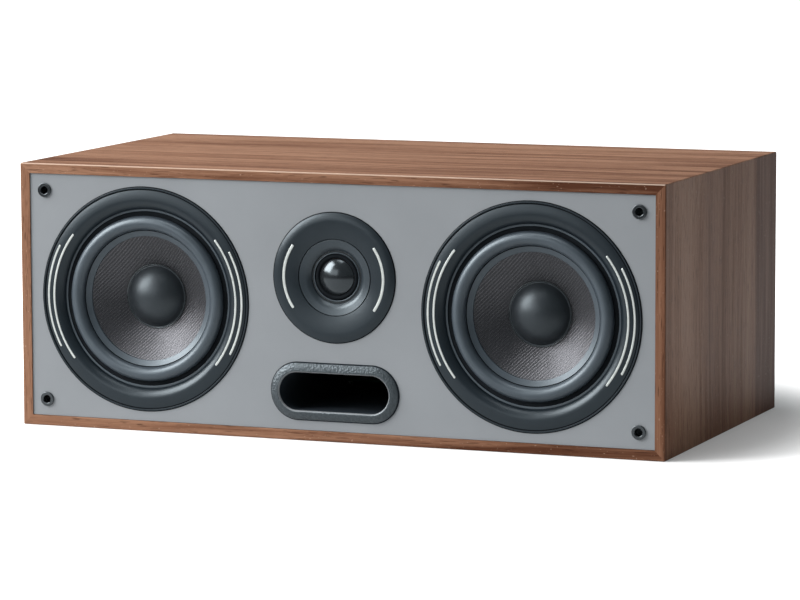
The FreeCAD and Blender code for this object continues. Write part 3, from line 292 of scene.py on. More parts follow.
def path_columns(steps: int, spread: tuple[float, float]) -> list[tuple[float, float, float]]:
    """The columns that a section is swept through round its axis.

    Args:
        steps: columns in a full turn.
        spread: half the straight part along X and along Z, zero for a round piece.

    Returns:
        Rows of (angle, shift along X, shift along Z).
    """
    if not any(spread):
        return [(2 * math.pi * i / steps, 0.0, 0.0) for i in range(steps)]
    columns = []
    quarter = steps // 4
    for corner, (sx, sz) in enumerate(((1, 1), (-1, 1), (-1, -1), (1, -1))):
        for i in range(quarter + 1):
            angle = math.pi / 2 * (corner + i / quarter)
            columns.append((angle, sx * spread[0], sz * spread[1]))
    return columns


def smooth_shading(mesh: bpy.types.Mesh) -> None:
    """Smooth faces, with edges left sharp where the form turns."""
    mesh.shade_smooth()
    mesh.set_sharp_from_angle(angle=math.radians(SHARP_DEG))


def new_piece(name: str, mesh: bpy.types.Mesh) -> Piece:
    """Link a mesh to the scene as an object at the origin."""
    piece = bpy.data.objects.new(name, mesh)
    bpy.context.scene.collection.objects.link(piece)
    return piece


def applied(piece: Piece) -> Piece:
    """Leave a piece with the plain mesh that its modifiers make."""
    shown = piece.evaluated_get(bpy.context.evaluated_depsgraph_get())
    spare = piece.data
    piece.data = bpy.data.meshes.new_from_object(shown)
    piece.modifiers.clear()
    bpy.data.meshes.remove(spare)
    piece.data.name = piece.name
    smooth_shading(piece.data)
    return piece


def turned(
    name: str,
    corners: Sequence[Corner],
    axis: Vector,
    facing: Facing = Facing.FRONT,
    steps: int = FINE_STEPS,
    spread: tuple[float, float] = (0.0, 0.0),
) -> Piece:
    """Sweep a section round an axis that runs along Y.

    Args:
        name: the piece's name.
        corners: the section; one that starts and ends on the axis is left open there.
        axis: where the axis meets the face that f counts from, in metres.
        facing: the way that f counts.
        steps: columns in a full turn.
        spread: half the straight part along X and Z, in millimetres, for an oblong piece.

    Returns:
        The new object.
    """
    closed = not (corners[0].r == 0 and corners[-1].r == 0)
    outline = section_points(corners, closed)
    columns = path_columns(steps, spread)
    form = bmesh.new()
    rings = []
    for angle, sx, sz in columns:
        ring = []
        for r, f in outline:
            x = axis.x + (sx + r * math.cos(angle)) * MM
            z = axis.z + (sz + r * math.sin(angle)) * MM
            ring.append(form.verts.new((x, axis.y + facing.value * f * MM, z)))
        rings.append(ring)
    count = len(outline)
    for here, there in zip(rings, rings[1:] + rings[:1]):
        for i in range(count if closed else count - 1):
            j = (i + 1) % count
            form.faces.new((here[i], here[j], there[j], there[i]))
    bmesh.ops.remove_doubles(form, verts=form.verts, dist=MERGE_DISTANCE)
    rims = [edge for edge in form.edges if edge.is_boundary]
    bmesh.ops.holes_fill(form, edges=rims, sides=0)
    bmesh.ops.recalc_face_normals(form, faces=form.faces)
    mesh = bpy.data.meshes.new(name)
    form.to_mesh(mesh)
    form.free()
    smooth_shading(mesh)
    return new_piece(name, mesh)


# Node trees

class NodePen:
    """Adds nodes to a tree and joins their sockets."""

    def __init__(self, tree: Tree) -> None:
        """Start on a tree."""
        self.tree = tree

    def feed(self, socket: Socket, value: Value) -> None:
        """Join a socket to another, or set its value."""
        if isinstance(value, Socket):
            self.tree.links.new(value, socket)
        else:
            socket.default_value = value

    def fill(self, node: bpy.types.Node, inputs: Mapping[Any, Value]) -> None:
        """Feed several inputs of a node, by name or number."""
        for key, value in inputs.items():
            self.feed(node.inputs[key], value)

    def add(self, kind: str, inputs: Mapping[Any, Value] | None = None, **settings: Any) -> bpy.types.Node:
        """Add a node.

        Args:
            kind: the node's type name.
            inputs: a value or a socket for each input, by name or number.
            settings: properties of the node.

        Returns:
            The new node.
        """
        node = self.tree.nodes.new(kind)
        for name, value in settings.items():
            setattr(node, name, value)
        self.fill(node, inputs or {})
        return node

    def math(self, operation: str, a: Value, b: Value = 0.0) -> Socket:
        """The result of a Math node."""
        return self.add("ShaderNodeMath", {0: a, 1: b}, operation=operation).outputs[0]

    def remap(self, value: Value, low: float, high: Value, to_low: float = 0.0, to_high: float = 1.0,
              way: str = "LINEAR") -> Socket:
        """A value moved from one range to another.

        Args:
            value: the socket to move.
            low: value that becomes to_low.
            high: value that becomes to_high.
            to_low: start of the new range.
            to_high: end of the new range.
            way: interpolation of the Map Range node.

        Returns:
            The result's socket.
        """
        inputs = {"Value": value, "From Min": low, "From Max": high, "To Min": to_low, "To Max": to_high}
        return self.add("ShaderNodeMapRange", inputs, interpolation_type=way).outputs["Result"]

    def vector(self, operation: str, a: Value, b: Value) -> Socket:
        """The result of a Vector Math node."""
        return self.add("ShaderNodeVectorMath", {0: a, 1: b}, operation=operation).outputs[0]

    def weigh(self, a: Value, b: Value, share: float) -> Socket:
        """A value times its share, plus another times the rest."""
        total = self.math("MULTIPLY_ADD", a, share)
        self.feed(total.node.inputs[2], self.math("MULTIPLY", b, 1 - share))
        return total

    def split(self, vector: Value) -> Any:
        """The outputs X, Y and Z of a vector."""
        return self.add("ShaderNodeSeparateXYZ", {0: vector}).outputs

    def join(self, x: Value, y: Value, z: Value = 0.0) -> Socket:
        """The vector of three values."""
        return self.add("ShaderNodeCombineXYZ", {"X": x, "Y": y, "Z": z}).outputs[0]

    def mix(self, factor: Value, a: Value, b: Value) -> Socket:
        """A colour between two others.

        Args:
            factor: share of the second colour.
            a: first colour.
            b: second colour.

        Returns:
            The result's socket.
        """
        node = self.add("ShaderNodeMix", data_type="RGBA")
        for index, value in zip(MIX_INPUTS, (factor, a, b)):
            self.feed(node.inputs[index], opaque(value) if isinstance(value, tuple) else value)
        return node.outputs[MIX_RESULT]

    def ramp(self, value: Value, stops: Sequence[tuple[float, Colour]], way: str = "LINEAR") -> Socket:
        """The colour of a Color Ramp.

        Args:
            value: place on the ramp.
            stops: a place and a colour each, in order.
            way: interpolation between the stops.

        Returns:
            The colour's socket.
        """
        node = self.add("ShaderNodeValToRGB", {"Fac": value})
        scale = node.color_ramp
        scale.interpolation = way
        while len(scale.elements) < len(stops):
            scale.elements.new(0.5)
        for element, (place, colour) in zip(scale.elements, stops):
            element.position = place
            element.color = opaque(colour)
        return node.outputs["Color"]

    def noise(self, vector: Value, scale: Value, detail: float, rough: float) -> Socket:
        """The factor of a Noise Texture."""
        inputs = {"Vector": vector, "Scale": scale, "Detail": detail, "Roughness": rough}
        return self.add("ShaderNodeTexNoise", inputs).outputs["Fac"]

    def stretch(self, vector: Value, scale: Colour, turn: Colour = (0.0, 0.0, 0.0)) -> Socket:
        """Coordinates scaled and turned by a Mapping node."""
        inputs = {"Vector": vector, "Scale": scale, "Rotation": turn}
        return self.add("ShaderNodeMapping", inputs).outputs["Vector"]

    def place(self) -> Socket:
        """The piece's own coordinates, in metres."""
        return self.add("ShaderNodeTexCoord").outputs["Object"]


def opaque(colour: Colour) -> tuple[float, float, float, float]:
    """A colour with full alpha."""
    return (*colour, 1.0)


def new_tree(kind: str, name: str, inputs: Mapping[str, tuple[str, Value]],
             outputs: Mapping[str, str]) -> Tree:
    """An empty group with named sockets.

    Args:
        kind: ShaderNodeTree or GeometryNodeTree.
        name: the tree's name.
        inputs: socket type and default of each input, or None where it has no default.
        outputs: socket type of each output.

    Returns:
        The new tree.
    """
    tree = bpy.data.node_groups.new(name, kind)
    for label, (socket_type, default) in inputs.items():
        socket = tree.interface.new_socket(name=label, in_out="INPUT", socket_type=socket_type)
        if default is not None:
            socket.default_value = default
    for label, socket_type in outputs.items():
        tree.interface.new_socket(name=label, in_out="OUTPUT", socket_type=socket_type)
    return tree


# Shader groups that several finishes share

Drawing = Callable[[NodePen, Any], Any]


def shared_group(name: str, inputs: Mapping[str, tuple[str, Value]], outputs: Sequence[str],
                 draw: Drawing) -> Tree:
    """A shader group that is drawn once and found by its name after that.

    Args:
        name: the group's name.
        inputs: socket type and default of each input, or None where it has no default.
        outputs: names of the outputs, which are plain values.
        draw: adds the nodes between the inputs and a socket for each output, which it gives by name.

    Returns:
        The group.
    """
    found = bpy.data.node_groups.get(name)
    if found:
        return found
    tree = new_tree("ShaderNodeTree", name, inputs, {label: FLOAT for label in outputs})
    pen = NodePen(tree)
    pen.add("NodeGroupOutput", draw(pen, pen.add("NodeGroupInput").outputs))
    return tree


PEBBLE_SHARE = 0.6                  # what pebbles give to the grain, beside plain noise
SMUDGE_SCALE = (9.0, 9.0, 22.0)     # fineness of the smudges, per metre
SMUDGE_RANGE = (0.35, 0.7)


def surface_marks() -> Tree:
    """Group with the slow mottle, fine grain and smudges of a moulded or painted surface.

    Returns:
        A group with inputs Vector, Mottle Scale and Grain Scale, and outputs Mottle, Grain and Smudge.
    """
    def draw(pen: NodePen, given: Any) -> Mapping[str, Socket]:
        """Add the three marks."""
        place, fine = given["Vector"], given["Grain Scale"]
        grain = pen.noise(place, fine, detail=2.0, rough=0.6)
        cells = pen.add("ShaderNodeTexVoronoi", {"Vector": place, "Scale": fine})
        wiped = pen.noise(pen.stretch(place, SMUDGE_SCALE), 1.0, detail=5.0, rough=0.65)
        return {
            "Mottle": pen.noise(place, given["Mottle Scale"], detail=4.0, rough=0.55),
            "Grain": pen.weigh(cells.outputs["Distance"], grain, PEBBLE_SHARE),
            "Smudge": pen.remap(wiped, *SMUDGE_RANGE),
        }

    inputs = {"Vector": (VECTOR, None), "Mottle Scale": (FLOAT, 30.0), "Grain Scale": (FLOAT, 2500.0)}
    return shared_group("surface_marks", inputs, ("Mottle", "Grain", "Smudge"), draw)


@dataclass(frozen=True)
class Streak:
    """A noise drawn out along a board's grain.

    Attributes:
        along: fineness along the grain, per metre.
        across: fineness across the grain, per metre.
        detail: octaves of the noise.
        rough: strength of its finer octaves.
    """

    along: float
    across: float
    detail: float
    rough: float

    def draw(self, pen: NodePen, place: Value) -> Socket:
        """The noise at a place on the sheet."""
        drawn_out = pen.stretch(place, (self.along, self.across, self.across))
        return pen.noise(drawn_out, 1.0, self.detail, self.rough)


BROAD_STREAK = Streak(along=1.3, across=30.0, detail=3.0, rough=0.55)
NARROW_STREAK = Streak(along=5.0, across=190.0, detail=4.0, rough=0.6)
FIBRE_STREAK = Streak(along=26.0, across=1500.0, detail=3.0, rough=0.6)
PORE_STREAK = Streak(along=75.0, across=1300.0, detail=1.0, rough=0.5)
# Light specks on the foil, part dust and part painted glints.
DUST_GLINT_STREAK = Streak(along=420.0, across=1100.0, detail=1.0, rough=0.5)
BROAD_SHARE = 0.56                  # what the broad streaks give to the tone, beside the narrow ones
SWAY_SCALE = 4.0                    # fineness of the grain's sway, per metre
SWAY_REACH = (0.0, 0.02, 0.02)      # how far the grain sways aside, in metres
PORE_RANGE = (0.6, 0.72)
DUST_GLINT_RANGE = (0.69, 0.78)


def wood_figure() -> Tree:
    """Group with the figure of a walnut foil whose grain runs along X.

    Returns:
        A group with input Vector, in metres, and outputs Tone, Fibre, Pore and Fleck, whose light specks are
        part dust and part painted glints.
    """
    def draw(pen: NodePen, given: Any) -> Mapping[str, Socket]:
        """Add the streaks of the swaying grain."""
        sheet = given["Vector"]
        sway = pen.add("ShaderNodeTexNoise", {"Vector": sheet, "Scale": SWAY_SCALE, "Detail": 1.0})
        centred = pen.vector("SUBTRACT", sway.outputs["Color"], (0.5, 0.5, 0.5))
        along = pen.vector("ADD", sheet, pen.vector("MULTIPLY", centred, SWAY_REACH))
        broad, narrow = BROAD_STREAK.draw(pen, along), NARROW_STREAK.draw(pen, along)
        return {
            "Tone": pen.weigh(broad, narrow, BROAD_SHARE),
            "Fibre": FIBRE_STREAK.draw(pen, along),
            "Pore": pen.remap(PORE_STREAK.draw(pen, along), *PORE_RANGE, way="SMOOTHSTEP"),
            "DustGlint": pen.remap(DUST_GLINT_STREAK.draw(pen, along), *DUST_GLINT_RANGE, way="SMOOTHSTEP"),
        }

    return shared_group("wood_figure", {"Vector": (VECTOR, None)}, ("Tone", "Fibre", "Pore", "DustGlint"), draw)


TWILL_REPEAT = 4.0                  # threads in one repeat of the twill
WEFT_HEIGHT = 0.6                   # height of the weft against the warp


def thread_weave() -> Tree:
    """Group with a two-over, two-under twill whose warp stands proud, one thread to a unit of X and of Y.

    Returns:
        A group with input Vector, counted in threads, and outputs Height, Warp and Thread.
    """
    def draw(pen: NodePen, given: Any) -> Mapping[str, Socket]:
        """Add the two sets of threads."""
        parts = pen.split(given["Vector"])
        u, v = parts["X"], parts["Y"]
        column, row = pen.math("FLOOR", u), pen.math("FLOOR", v)

        def hump(place: Socket, start: Socket, across: Socket) -> Socket:
            """Height of a float, which covers two threads and then dives under two."""
            phase = pen.math("FLOORED_MODULO", pen.math("SUBTRACT", place, start), TWILL_REPEAT)
            lift = pen.math("SINE", pen.math("MULTIPLY", phase, 2 * math.pi / TWILL_REPEAT))
            rounded = pen.math("SINE", pen.math("MULTIPLY", pen.math("FRACT", across), math.pi))
            return pen.math("MULTIPLY", lift, rounded)

        warp = hump(v, column, u)
        weft = hump(u, pen.math("ADD", row, 1.0), v)
        upper = pen.math("GREATER_THAN", warp, weft)
        lower = pen.math("SUBTRACT", 1.0, upper)
        thread = pen.join(pen.math("MULTIPLY", column, upper), pen.math("MULTIPLY", row, lower))
        return {
            "Height": pen.math("MAXIMUM", warp, pen.math("MULTIPLY", weft, WEFT_HEIGHT)),
            "Warp": upper,
            "Thread": pen.add("ShaderNodeTexWhiteNoise", {"Vector": thread}).outputs["Value"],
        }

    return shared_group("thread_weave", {"Vector": (VECTOR, None)}, ("Height", "Warp", "Thread"), draw)


# Finishes

MOTTLE_RANGE = (0.3, 0.7)           # part of a noise that a mottle spreads over
FIGURE_RANGE = (0.35, 0.65)         # part of a noise that a board's figure spreads over
COAT_ROUGH = 0.12


class Finish:
    """A surface finish, which names the record's slot and makes its material once."""

    name: str
    slot: str

    def material(self) -> bpy.types.Material:
        """The finish's material, made on first use."""
        found = bpy.data.materials.get(self.name)
        if found:
            return found
        made = bpy.data.materials.new(self.name)
        made.use_nodes = True
        self.paint(NodePen(made.node_tree), made.node_tree.nodes["Principled BSDF"])
        return made

    def paint(self, pen: NodePen, shader: bpy.types.Node) -> None:
        """Join the finish's nodes to its shader."""
        raise NotImplementedError

    @staticmethod
    def group(pen: NodePen, tree: Tree, inputs: Mapping[str, Value]) -> Any:
        """The outputs of a shared group placed in the material."""
        return pen.add("ShaderNodeGroup", inputs, node_tree=tree).outputs

    @staticmethod
    def emboss(pen: NodePen, height: Value, depth: float) -> Socket:
        """The normal of a surface raised by a height map.

        Args:
            pen: the material's pen.
            height: socket with the height, from 0 to 1.
            depth: what a height of 1 stands for, in metres.

        Returns:
            The normal's socket.
        """
        inputs = {"Height": height, "Distance": depth, "Strength": 1.0}
        return pen.add("ShaderNodeBump", inputs).outputs["Normal"]


@dataclass(frozen=True)
class Moulded(Finish):
    """Moulded plastic, rubber, paint or paper.

    Attributes:
        name: the material's name.
        slot: the record's slot.
        low: darker colour of the mottle.
        high: lighter colour of the mottle.
        rough: mean roughness.
        rough_swing: how far smudges move the roughness.
        mottle_scale: mottle's fineness, per metre.
        grain_scale: grain's fineness, per metre.
        grain_depth: grain's height in metres.
        coat: clear coat's weight.
        metallic: share of metal.
        specular: specular level.
        sheen: tint of the reflected light.
    """

    name: str
    slot: str
    low: Colour
    high: Colour
    rough: float = 0.45
    rough_swing: float = 0.06
    mottle_scale: float = 40.0
    grain_scale: float = 2500.0
    grain_depth: float = 0.00003
    coat: float = 0.0
    metallic: float = 0.0
    specular: float = 0.5
    sheen: Colour = (0.81, 0.93, 1.0)

    def paint(self, pen: NodePen, shader: bpy.types.Node) -> None:
        """Join mottle to the colour, smudges to the roughness and grain to the normal."""
        marks = self.group(pen, surface_marks(), {
            "Vector": pen.place(), "Mottle Scale": self.mottle_scale, "Grain Scale": self.grain_scale})
        tone = pen.remap(marks["Mottle"], *MOTTLE_RANGE)
        smooth, dull = self.rough - self.rough_swing, self.rough + self.rough_swing
        pen.fill(shader, {
            "Base Color": pen.mix(tone, self.low, self.high),
            "Roughness": pen.remap(marks["Smudge"], 0.0, 1.0, smooth, dull),
            "Normal": self.emboss(pen, marks["Grain"], self.grain_depth),
            "Metallic": self.metallic, "Specular IOR Level": self.specular,
            "Specular Tint": opaque(self.sheen), "Coat Weight": self.coat, "Coat Roughness": COAT_ROUGH})


@dataclass(frozen=True)
class Walnut(Finish):
    """Walnut foil with its grain along the board.

    Attributes:
        name: the material's name.
        way: direction of the grain.
        bands: broad bands of the figure, as share of the depth from the front and tone from -1 to 1.
        shift: where on the sheet the board was cut, in metres.
        gloss: the foil's specular level.
        rough: the foil's mean roughness.
        rough_swing: how far the tone moves the roughness.
        depth: the board's length from front to back, in metres.
        swing: change of tone that the bands reach.
        spread: half the range of tone between the dark and the light streaks.
        edge_slant: change of tone along the front edge, per metre of X.
        edge_middle: where along X the front edge has the board's own tone, in metres.
        edge_fade: shares of the depth between which the front edge's slant fades out.
        highlight_height: height of the painted highlight along the top of the front, in metres, or 0 for
            none.
        highlight_width: how far from that edge the painted highlight reaches, in metres.
        slot: the record's slot.
        dark: colour of the dark streaks.
        middle: colour of the ground.
        light: colour of the light streaks.
        pore: colour of the pores.
        dust_glint: colour of the light specks, part dust and part painted glints.
        highlight_colour: colour of the highlight painted along the top of the front.
        fibre_share: how dark the fibres are, from 0 to 1.
        pore_share: how dense the pores are, from 0 to 1.
        dust_glint_share: how dense those specks are, from 0 to 1.
        fibre_lift: height of the fibres, as share of the pores' depth.
        relief: depth of the pores in metres.
    """

    name: str
    way: GrainWay
    bands: tuple[tuple[float, float], ...]
    shift: float = 0.0
    gloss: float = 0.035
    rough: float = 0.7
    rough_swing: float = 0.05
    depth: float = 0.27
    swing: float = 0.1
    spread: float = 0.105
    edge_slant: float = -0.28
    edge_middle: float = 0.0
    edge_fade: tuple[float, float] = (0.004, 0.02)
    highlight_height: float = 0.0
    highlight_width: float = 0.0011
    slot: str = "walnut_veneer"
    dark: Colour = (0.085, 0.032, 0.017)
    middle: Colour = (0.235, 0.116, 0.070)
    light: Colour = (0.36, 0.197, 0.124)
    pore: Colour = (0.040, 0.016, 0.009)
    dust_glint: Colour = (0.5, 0.34, 0.25)
    highlight_colour: Colour = (0.72, 0.56, 0.45)
    fibre_share: float = 0.34
    pore_share: float = 0.62
    dust_glint_share: float = 0.5
    fibre_lift: float = 0.5
    relief: float = 0.00006

    def paint(self, pen: NodePen, shader: bpy.types.Node) -> None:
        """Colour by tone, fibre, pores and flecks, with a low emboss along the grain."""
        axes = pen.split(pen.place())
        along, across = ("X", "Z") if self.way is GrainWay.LEVEL else ("Z", "X")
        sheet = pen.join(axes[along], pen.math("ADD", axes["Y"], self.shift), axes[across])
        figure = self.group(pen, wood_figure(), {"Vector": sheet})
        tone = pen.math("ADD", figure["Tone"], self.shade(pen, axes))
        toned = pen.ramp(
            tone, ((0.5 - self.spread, self.dark), (0.5, self.middle), (0.5 + self.spread, self.light)))
        fibres = pen.remap(figure["Fibre"], *FIGURE_RANGE, 0.0, self.fibre_share)
        fibred = pen.mix(fibres, toned, self.dark)
        pored = pen.mix(pen.math("MULTIPLY", figure["Pore"], self.pore_share), fibred, self.pore)
        colour = pen.mix(pen.math("MULTIPLY", figure["DustGlint"], self.dust_glint_share), pored, self.dust_glint)
        # A lighter colour is painted along the top of the front as a highlight.
        if self.highlight_height:
            front = pen.remap(axes["Y"], self.highlight_width - self.depth / 2, -self.depth / 2)
            upper = pen.remap(axes["Z"], self.highlight_height - self.highlight_width, self.highlight_height)
            colour = pen.mix(pen.math("MULTIPLY", front, upper), colour, self.highlight_colour)
        dull, smooth = self.rough + self.rough_swing, self.rough - self.rough_swing
        lifted = pen.math("MULTIPLY", figure["Fibre"], self.fibre_lift)
        pen.fill(shader, {
            "Base Color": colour,
            "Roughness": pen.remap(figure["Tone"], *FIGURE_RANGE, dull, smooth),
            "Normal": self.emboss(pen, pen.math("SUBTRACT", lifted, figure["Pore"]), self.relief),
            "Specular IOR Level": self.gloss})

    def shade(self, pen: NodePen, axes: Any) -> Socket:
        """Change of tone by the broad bands and along the front edge.

        Args:
            pen: the material's pen.
            axes: outputs X, Y and Z of the piece's own coordinates.

        Returns:
            The change's socket.
        """
        from_front = pen.remap(axes["Y"], -self.depth / 2, self.depth / 2)
        greys = tuple((place, (0.5 + tone / 2,) * 3) for place, tone in self.bands)
        band = pen.remap(pen.ramp(from_front, greys, "EASE"), 0.0, 1.0, -self.swing, self.swing)
        on_edge = pen.remap(from_front, *self.edge_fade, self.edge_slant, 0.0)
        aside = pen.math("SUBTRACT", axes["X"], self.edge_middle)
        return pen.math("ADD", band, pen.math("MULTIPLY", aside, on_edge))


@dataclass(frozen=True)
class Woven(Finish):
    """Coated cloth in a twill weave.

    Attributes:
        name: the material's name.
        slot: the record's slot.
        pitch: thread spacing in metres.
        warp: colour of the upright threads.
        weft: colour of the level threads.
        gap_shade: colour painted as shade where the threads dip between and under each other.
        turn_deg: turn of the cloth about the driver's axis.
        rough: roughness of the warp.
        weft_rough: roughness of the weft.
        relief: height of the threads in metres.
        specular: specular level.
        metallic: share of the coating's metallic sheen.
        uneven: how far a thread's own tone goes towards the colour painted between the threads.
        shown: heights between which that painted shade gives way to the thread's colour.
    """

    name: str
    slot: str
    pitch: float
    warp: Colour
    weft: Colour
    gap_shade: Colour
    turn_deg: float = 0.0
    rough: float = 0.42
    weft_rough: float = 0.6
    relief: float = 0.00016
    specular: float = 0.5
    metallic: float = 0.0
    uneven: float = 0.3
    shown: tuple[float, float] = (0.1, 0.7)

    def paint(self, pen: NodePen, shader: bpy.types.Node) -> None:
        """Colour and raise the threads."""
        axes = pen.split(pen.place())
        flat = pen.join(axes["X"], axes["Z"])
        count = 1.0 / self.pitch
        threads = pen.stretch(flat, (count, count, 1.0), (0.0, 0.0, math.radians(self.turn_deg)))
        weave = self.group(pen, thread_weave(), {"Vector": threads})
        cloth = pen.mix(weave["Warp"], self.weft, self.warp)
        uneven = pen.mix(pen.remap(weave["Thread"], 0.0, 1.0, 0.0, self.uneven), cloth, self.gap_shade)
        # Where the threads dip, the colour between them is painted in as shade.
        shaded = pen.mix(pen.remap(weave["Height"], *self.shown), self.gap_shade, uneven)
        pen.fill(shader, {
            "Base Color": shaded,
            "Roughness": pen.remap(weave["Warp"], 0.0, 1.0, self.weft_rough, self.rough),
            "Normal": self.emboss(pen, weave["Height"], self.relief),
            "Specular IOR Level": self.specular, "Metallic": self.metallic})


GREY_PAINT = Moulded(
    "grey_paint", "grey_baffle", (0.232, 0.243, 0.256), (0.254, 0.266, 0.280), rough=0.5, rough_swing=0.04,
    mottle_scale=14.0, grain_scale=1800.0)
SLATE_SATIN = Moulded(
    "slate_satin", "slate_trim", (0.0058, 0.0095, 0.0135), (0.0081, 0.0126, 0.0172), rough=0.36,
    rough_swing=0.04, mottle_scale=60.0, grain_scale=3200.0, grain_depth=0.000012, specular=0.55)
# A lighter copy of the slate trim's finish for the waveguide; its lighter colour is painted light.
GUIDE_SATIN_PAINTED_LIGHT = Moulded(
    "guide_satin_painted_light", "slate_trim", (0.016, 0.022, 0.028), (0.021, 0.028, 0.035), rough=0.36, rough_swing=0.04,
    mottle_scale=60.0, grain_scale=3200.0, grain_depth=0.000012, specular=0.8)
SILVER = Moulded(
    "silver_inlay", "bright_inlay", (0.54, 0.57, 0.55), (0.64, 0.67, 0.65), rough=0.42, rough_swing=0.05,
    mottle_scale=300.0, grain_scale=4200.0, grain_depth=0.000006, metallic=0.35)
RUBBER = Moulded(
    "surround_rubber", "black_rubber", (0.033, 0.043, 0.054), (0.042, 0.054, 0.067), rough=0.42,
    rough_swing=0.03, mottle_scale=90.0, grain_scale=3000.0, grain_depth=0.000014, specular=0.9)
# Near-black painted as shade into the trims' grooves and outlines, the surround's channels and the tweeter's
# roll.
SHADE_BLACK = Moulded(
    "painted_shade_black", "black_rubber", (0.005, 0.006, 0.008), (0.008, 0.010, 0.012), rough=0.8, specular=0.1,
    mottle_scale=90.0, grain_scale=3000.0, grain_depth=0.000014)
CONE_CLOTH = Woven(
    "cone_cloth", "woven_cone", pitch=0.00068, warp=(0.148, 0.147, 0.160), weft=(0.108, 0.109, 0.120),
    gap_shade=(0.032, 0.033, 0.037), rough=0.27, weft_rough=0.36, relief=0.0001, metallic=0.65)
CAP_SATIN = Moulded(
    "cap_satin", "black_cap", (0.013, 0.016, 0.019), (0.018, 0.021, 0.025), rough=0.43, rough_swing=0.03,
    mottle_scale=110.0, grain_scale=5000.0, grain_depth=0.000004, specular=0.65)
DOME_SILK = Moulded(
    "dome_silk", "black_dome", (0.010, 0.011, 0.013), (0.014, 0.016, 0.018), rough=0.2, rough_swing=0.03,
    mottle_scale=220.0, grain_scale=6000.0, grain_depth=0.000003, specular=0.9)
PORT_GRAIN = Moulded(
    "port_grain", "black_moulding", (0.012, 0.016, 0.019), (0.036, 0.044, 0.050), rough=0.4,
    mottle_scale=620.0, grain_scale=700.0, grain_depth=0.0005, specular=0.8)
# The duct's own black, also painted on the rim's thin flange as a shade line.
DUCT_AND_SHADE_BLACK = Moulded(
    "duct_black_and_painted_shade", "black_moulding", (0.018, 0.023, 0.029), (0.024, 0.030, 0.037), rough=0.85,
    grain_scale=900.0, grain_depth=0.0001, specular=0.03)
# A light grey painted on the edge of the port's mouth as a highlight.
PORT_HIGHLIGHT = Moulded(
    "port_painted_highlight", "black_moulding", (0.15, 0.16, 0.17), (0.20, 0.21, 0.22), rough=0.34, rough_swing=0.05,
    mottle_scale=300.0, grain_scale=1500.0, grain_depth=0.00002, specular=0.9)
GLOSS_BLACK = Moulded(
    "gloss_black", "gloss_moulding", (0.010, 0.011, 0.013), (0.015, 0.017, 0.019), rough=0.24,
    rough_swing=0.05, mottle_scale=160.0, grain_scale=4000.0, grain_depth=0.000004, coat=0.4, specular=0.9)
CAST_FRAME = Moulded(
    "cast_frame", "cast_frame", (0.020, 0.021, 0.022), (0.034, 0.035, 0.037), rough=0.55,
    grain_scale=1400.0, grain_depth=0.00008)
STEEL = Moulded(
    "plated_steel", "plated_steel", (0.46, 0.46, 0.45), (0.58, 0.58, 0.57), rough=0.36, mottle_scale=70.0,
    grain_scale=2600.0, grain_depth=0.00001, metallic=1.0)
FERRITE = Moulded(
    "ferrite", "ferrite", (0.018, 0.018, 0.019), (0.034, 0.033, 0.033), rough=0.62, grain_scale=900.0,
    grain_depth=0.00006)
COPPER = Moulded(
    "copper_wire", "copper", (0.48, 0.19, 0.09), (0.66, 0.29, 0.15), rough=0.34, mottle_scale=500.0,
    grain_scale=3000.0, grain_depth=0.00004, metallic=1.0)
SPIDER_CLOTH = Woven(
    "spider_cloth", "brown_spider", pitch=0.0007, warp=(0.42, 0.24, 0.10), weft=(0.34, 0.19, 0.08),
    gap_shade=(0.10, 0.05, 0.02), turn_deg=45.0, rough=0.7)
BLACK_SCREW = Moulded(
    "black_screw", "black_screw", (0.012, 0.012, 0.013), (0.022, 0.022, 0.023), rough=0.36,
    mottle_scale=400.0, grain_scale=5000.0, grain_depth=0.000008, metallic=0.6)
GOLD = Moulded(
    "gold_plate", "gold_post", (0.78, 0.53, 0.20), (0.88, 0.63, 0.28), rough=0.22, mottle_scale=300.0,
    grain_scale=4000.0, grain_depth=0.000004, metallic=1.0)
RED_CAP = Moulded(
    "red_cap", "red_cap", (0.36, 0.012, 0.012), (0.46, 0.020, 0.018), rough=0.3, mottle_scale=200.0,
    grain_scale=4000.0, grain_depth=0.000006, coat=0.3)
BOARD_GREEN = Moulded(
    "board_green", "circuit_board", (0.02, 0.10, 0.045), (0.03, 0.15, 0.065), rough=0.4, mottle_scale=120.0,
    grain_scale=1600.0, coat=0.4)
CERAMIC = Moulded(
    "white_ceramic", "white_ceramic", (0.66, 0.64, 0.60), (0.76, 0.74, 0.70), rough=0.6, grain_scale=1200.0)
BLUE_FILM = Moulded(
    "blue_film", "blue_film", (0.03, 0.07, 0.22), (0.05, 0.10, 0.30), rough=0.3, grain_scale=2000.0, coat=0.3)
BLACK_LEAD = Moulded(
    "black_lead", "black_lead", (0.014, 0.014, 0.015), (0.024, 0.024, 0.025), rough=0.5, grain_scale=2600.0)
FELT = Moulded(
    "white_felt", "white_felt", (0.62, 0.61, 0.58), (0.76, 0.75, 0.72), rough=0.95, rough_swing=0.03,
    mottle_scale=70.0, grain_scale=420.0, grain_depth=0.0006)
GASKET_FOAM = Moulded(
    "foam_gasket", "black_rubber", (0.018, 0.018, 0.019), (0.030, 0.030, 0.031), rough=0.9,
    grain_scale=700.0, grain_depth=0.0002)
BACK_VINYL = Moulded(
    "back_vinyl", "black_moulding", (0.020, 0.020, 0.021), (0.030, 0.030, 0.031), rough=0.55,
    grain_scale=1100.0, grain_depth=0.0001)


# Geometry Nodes tools

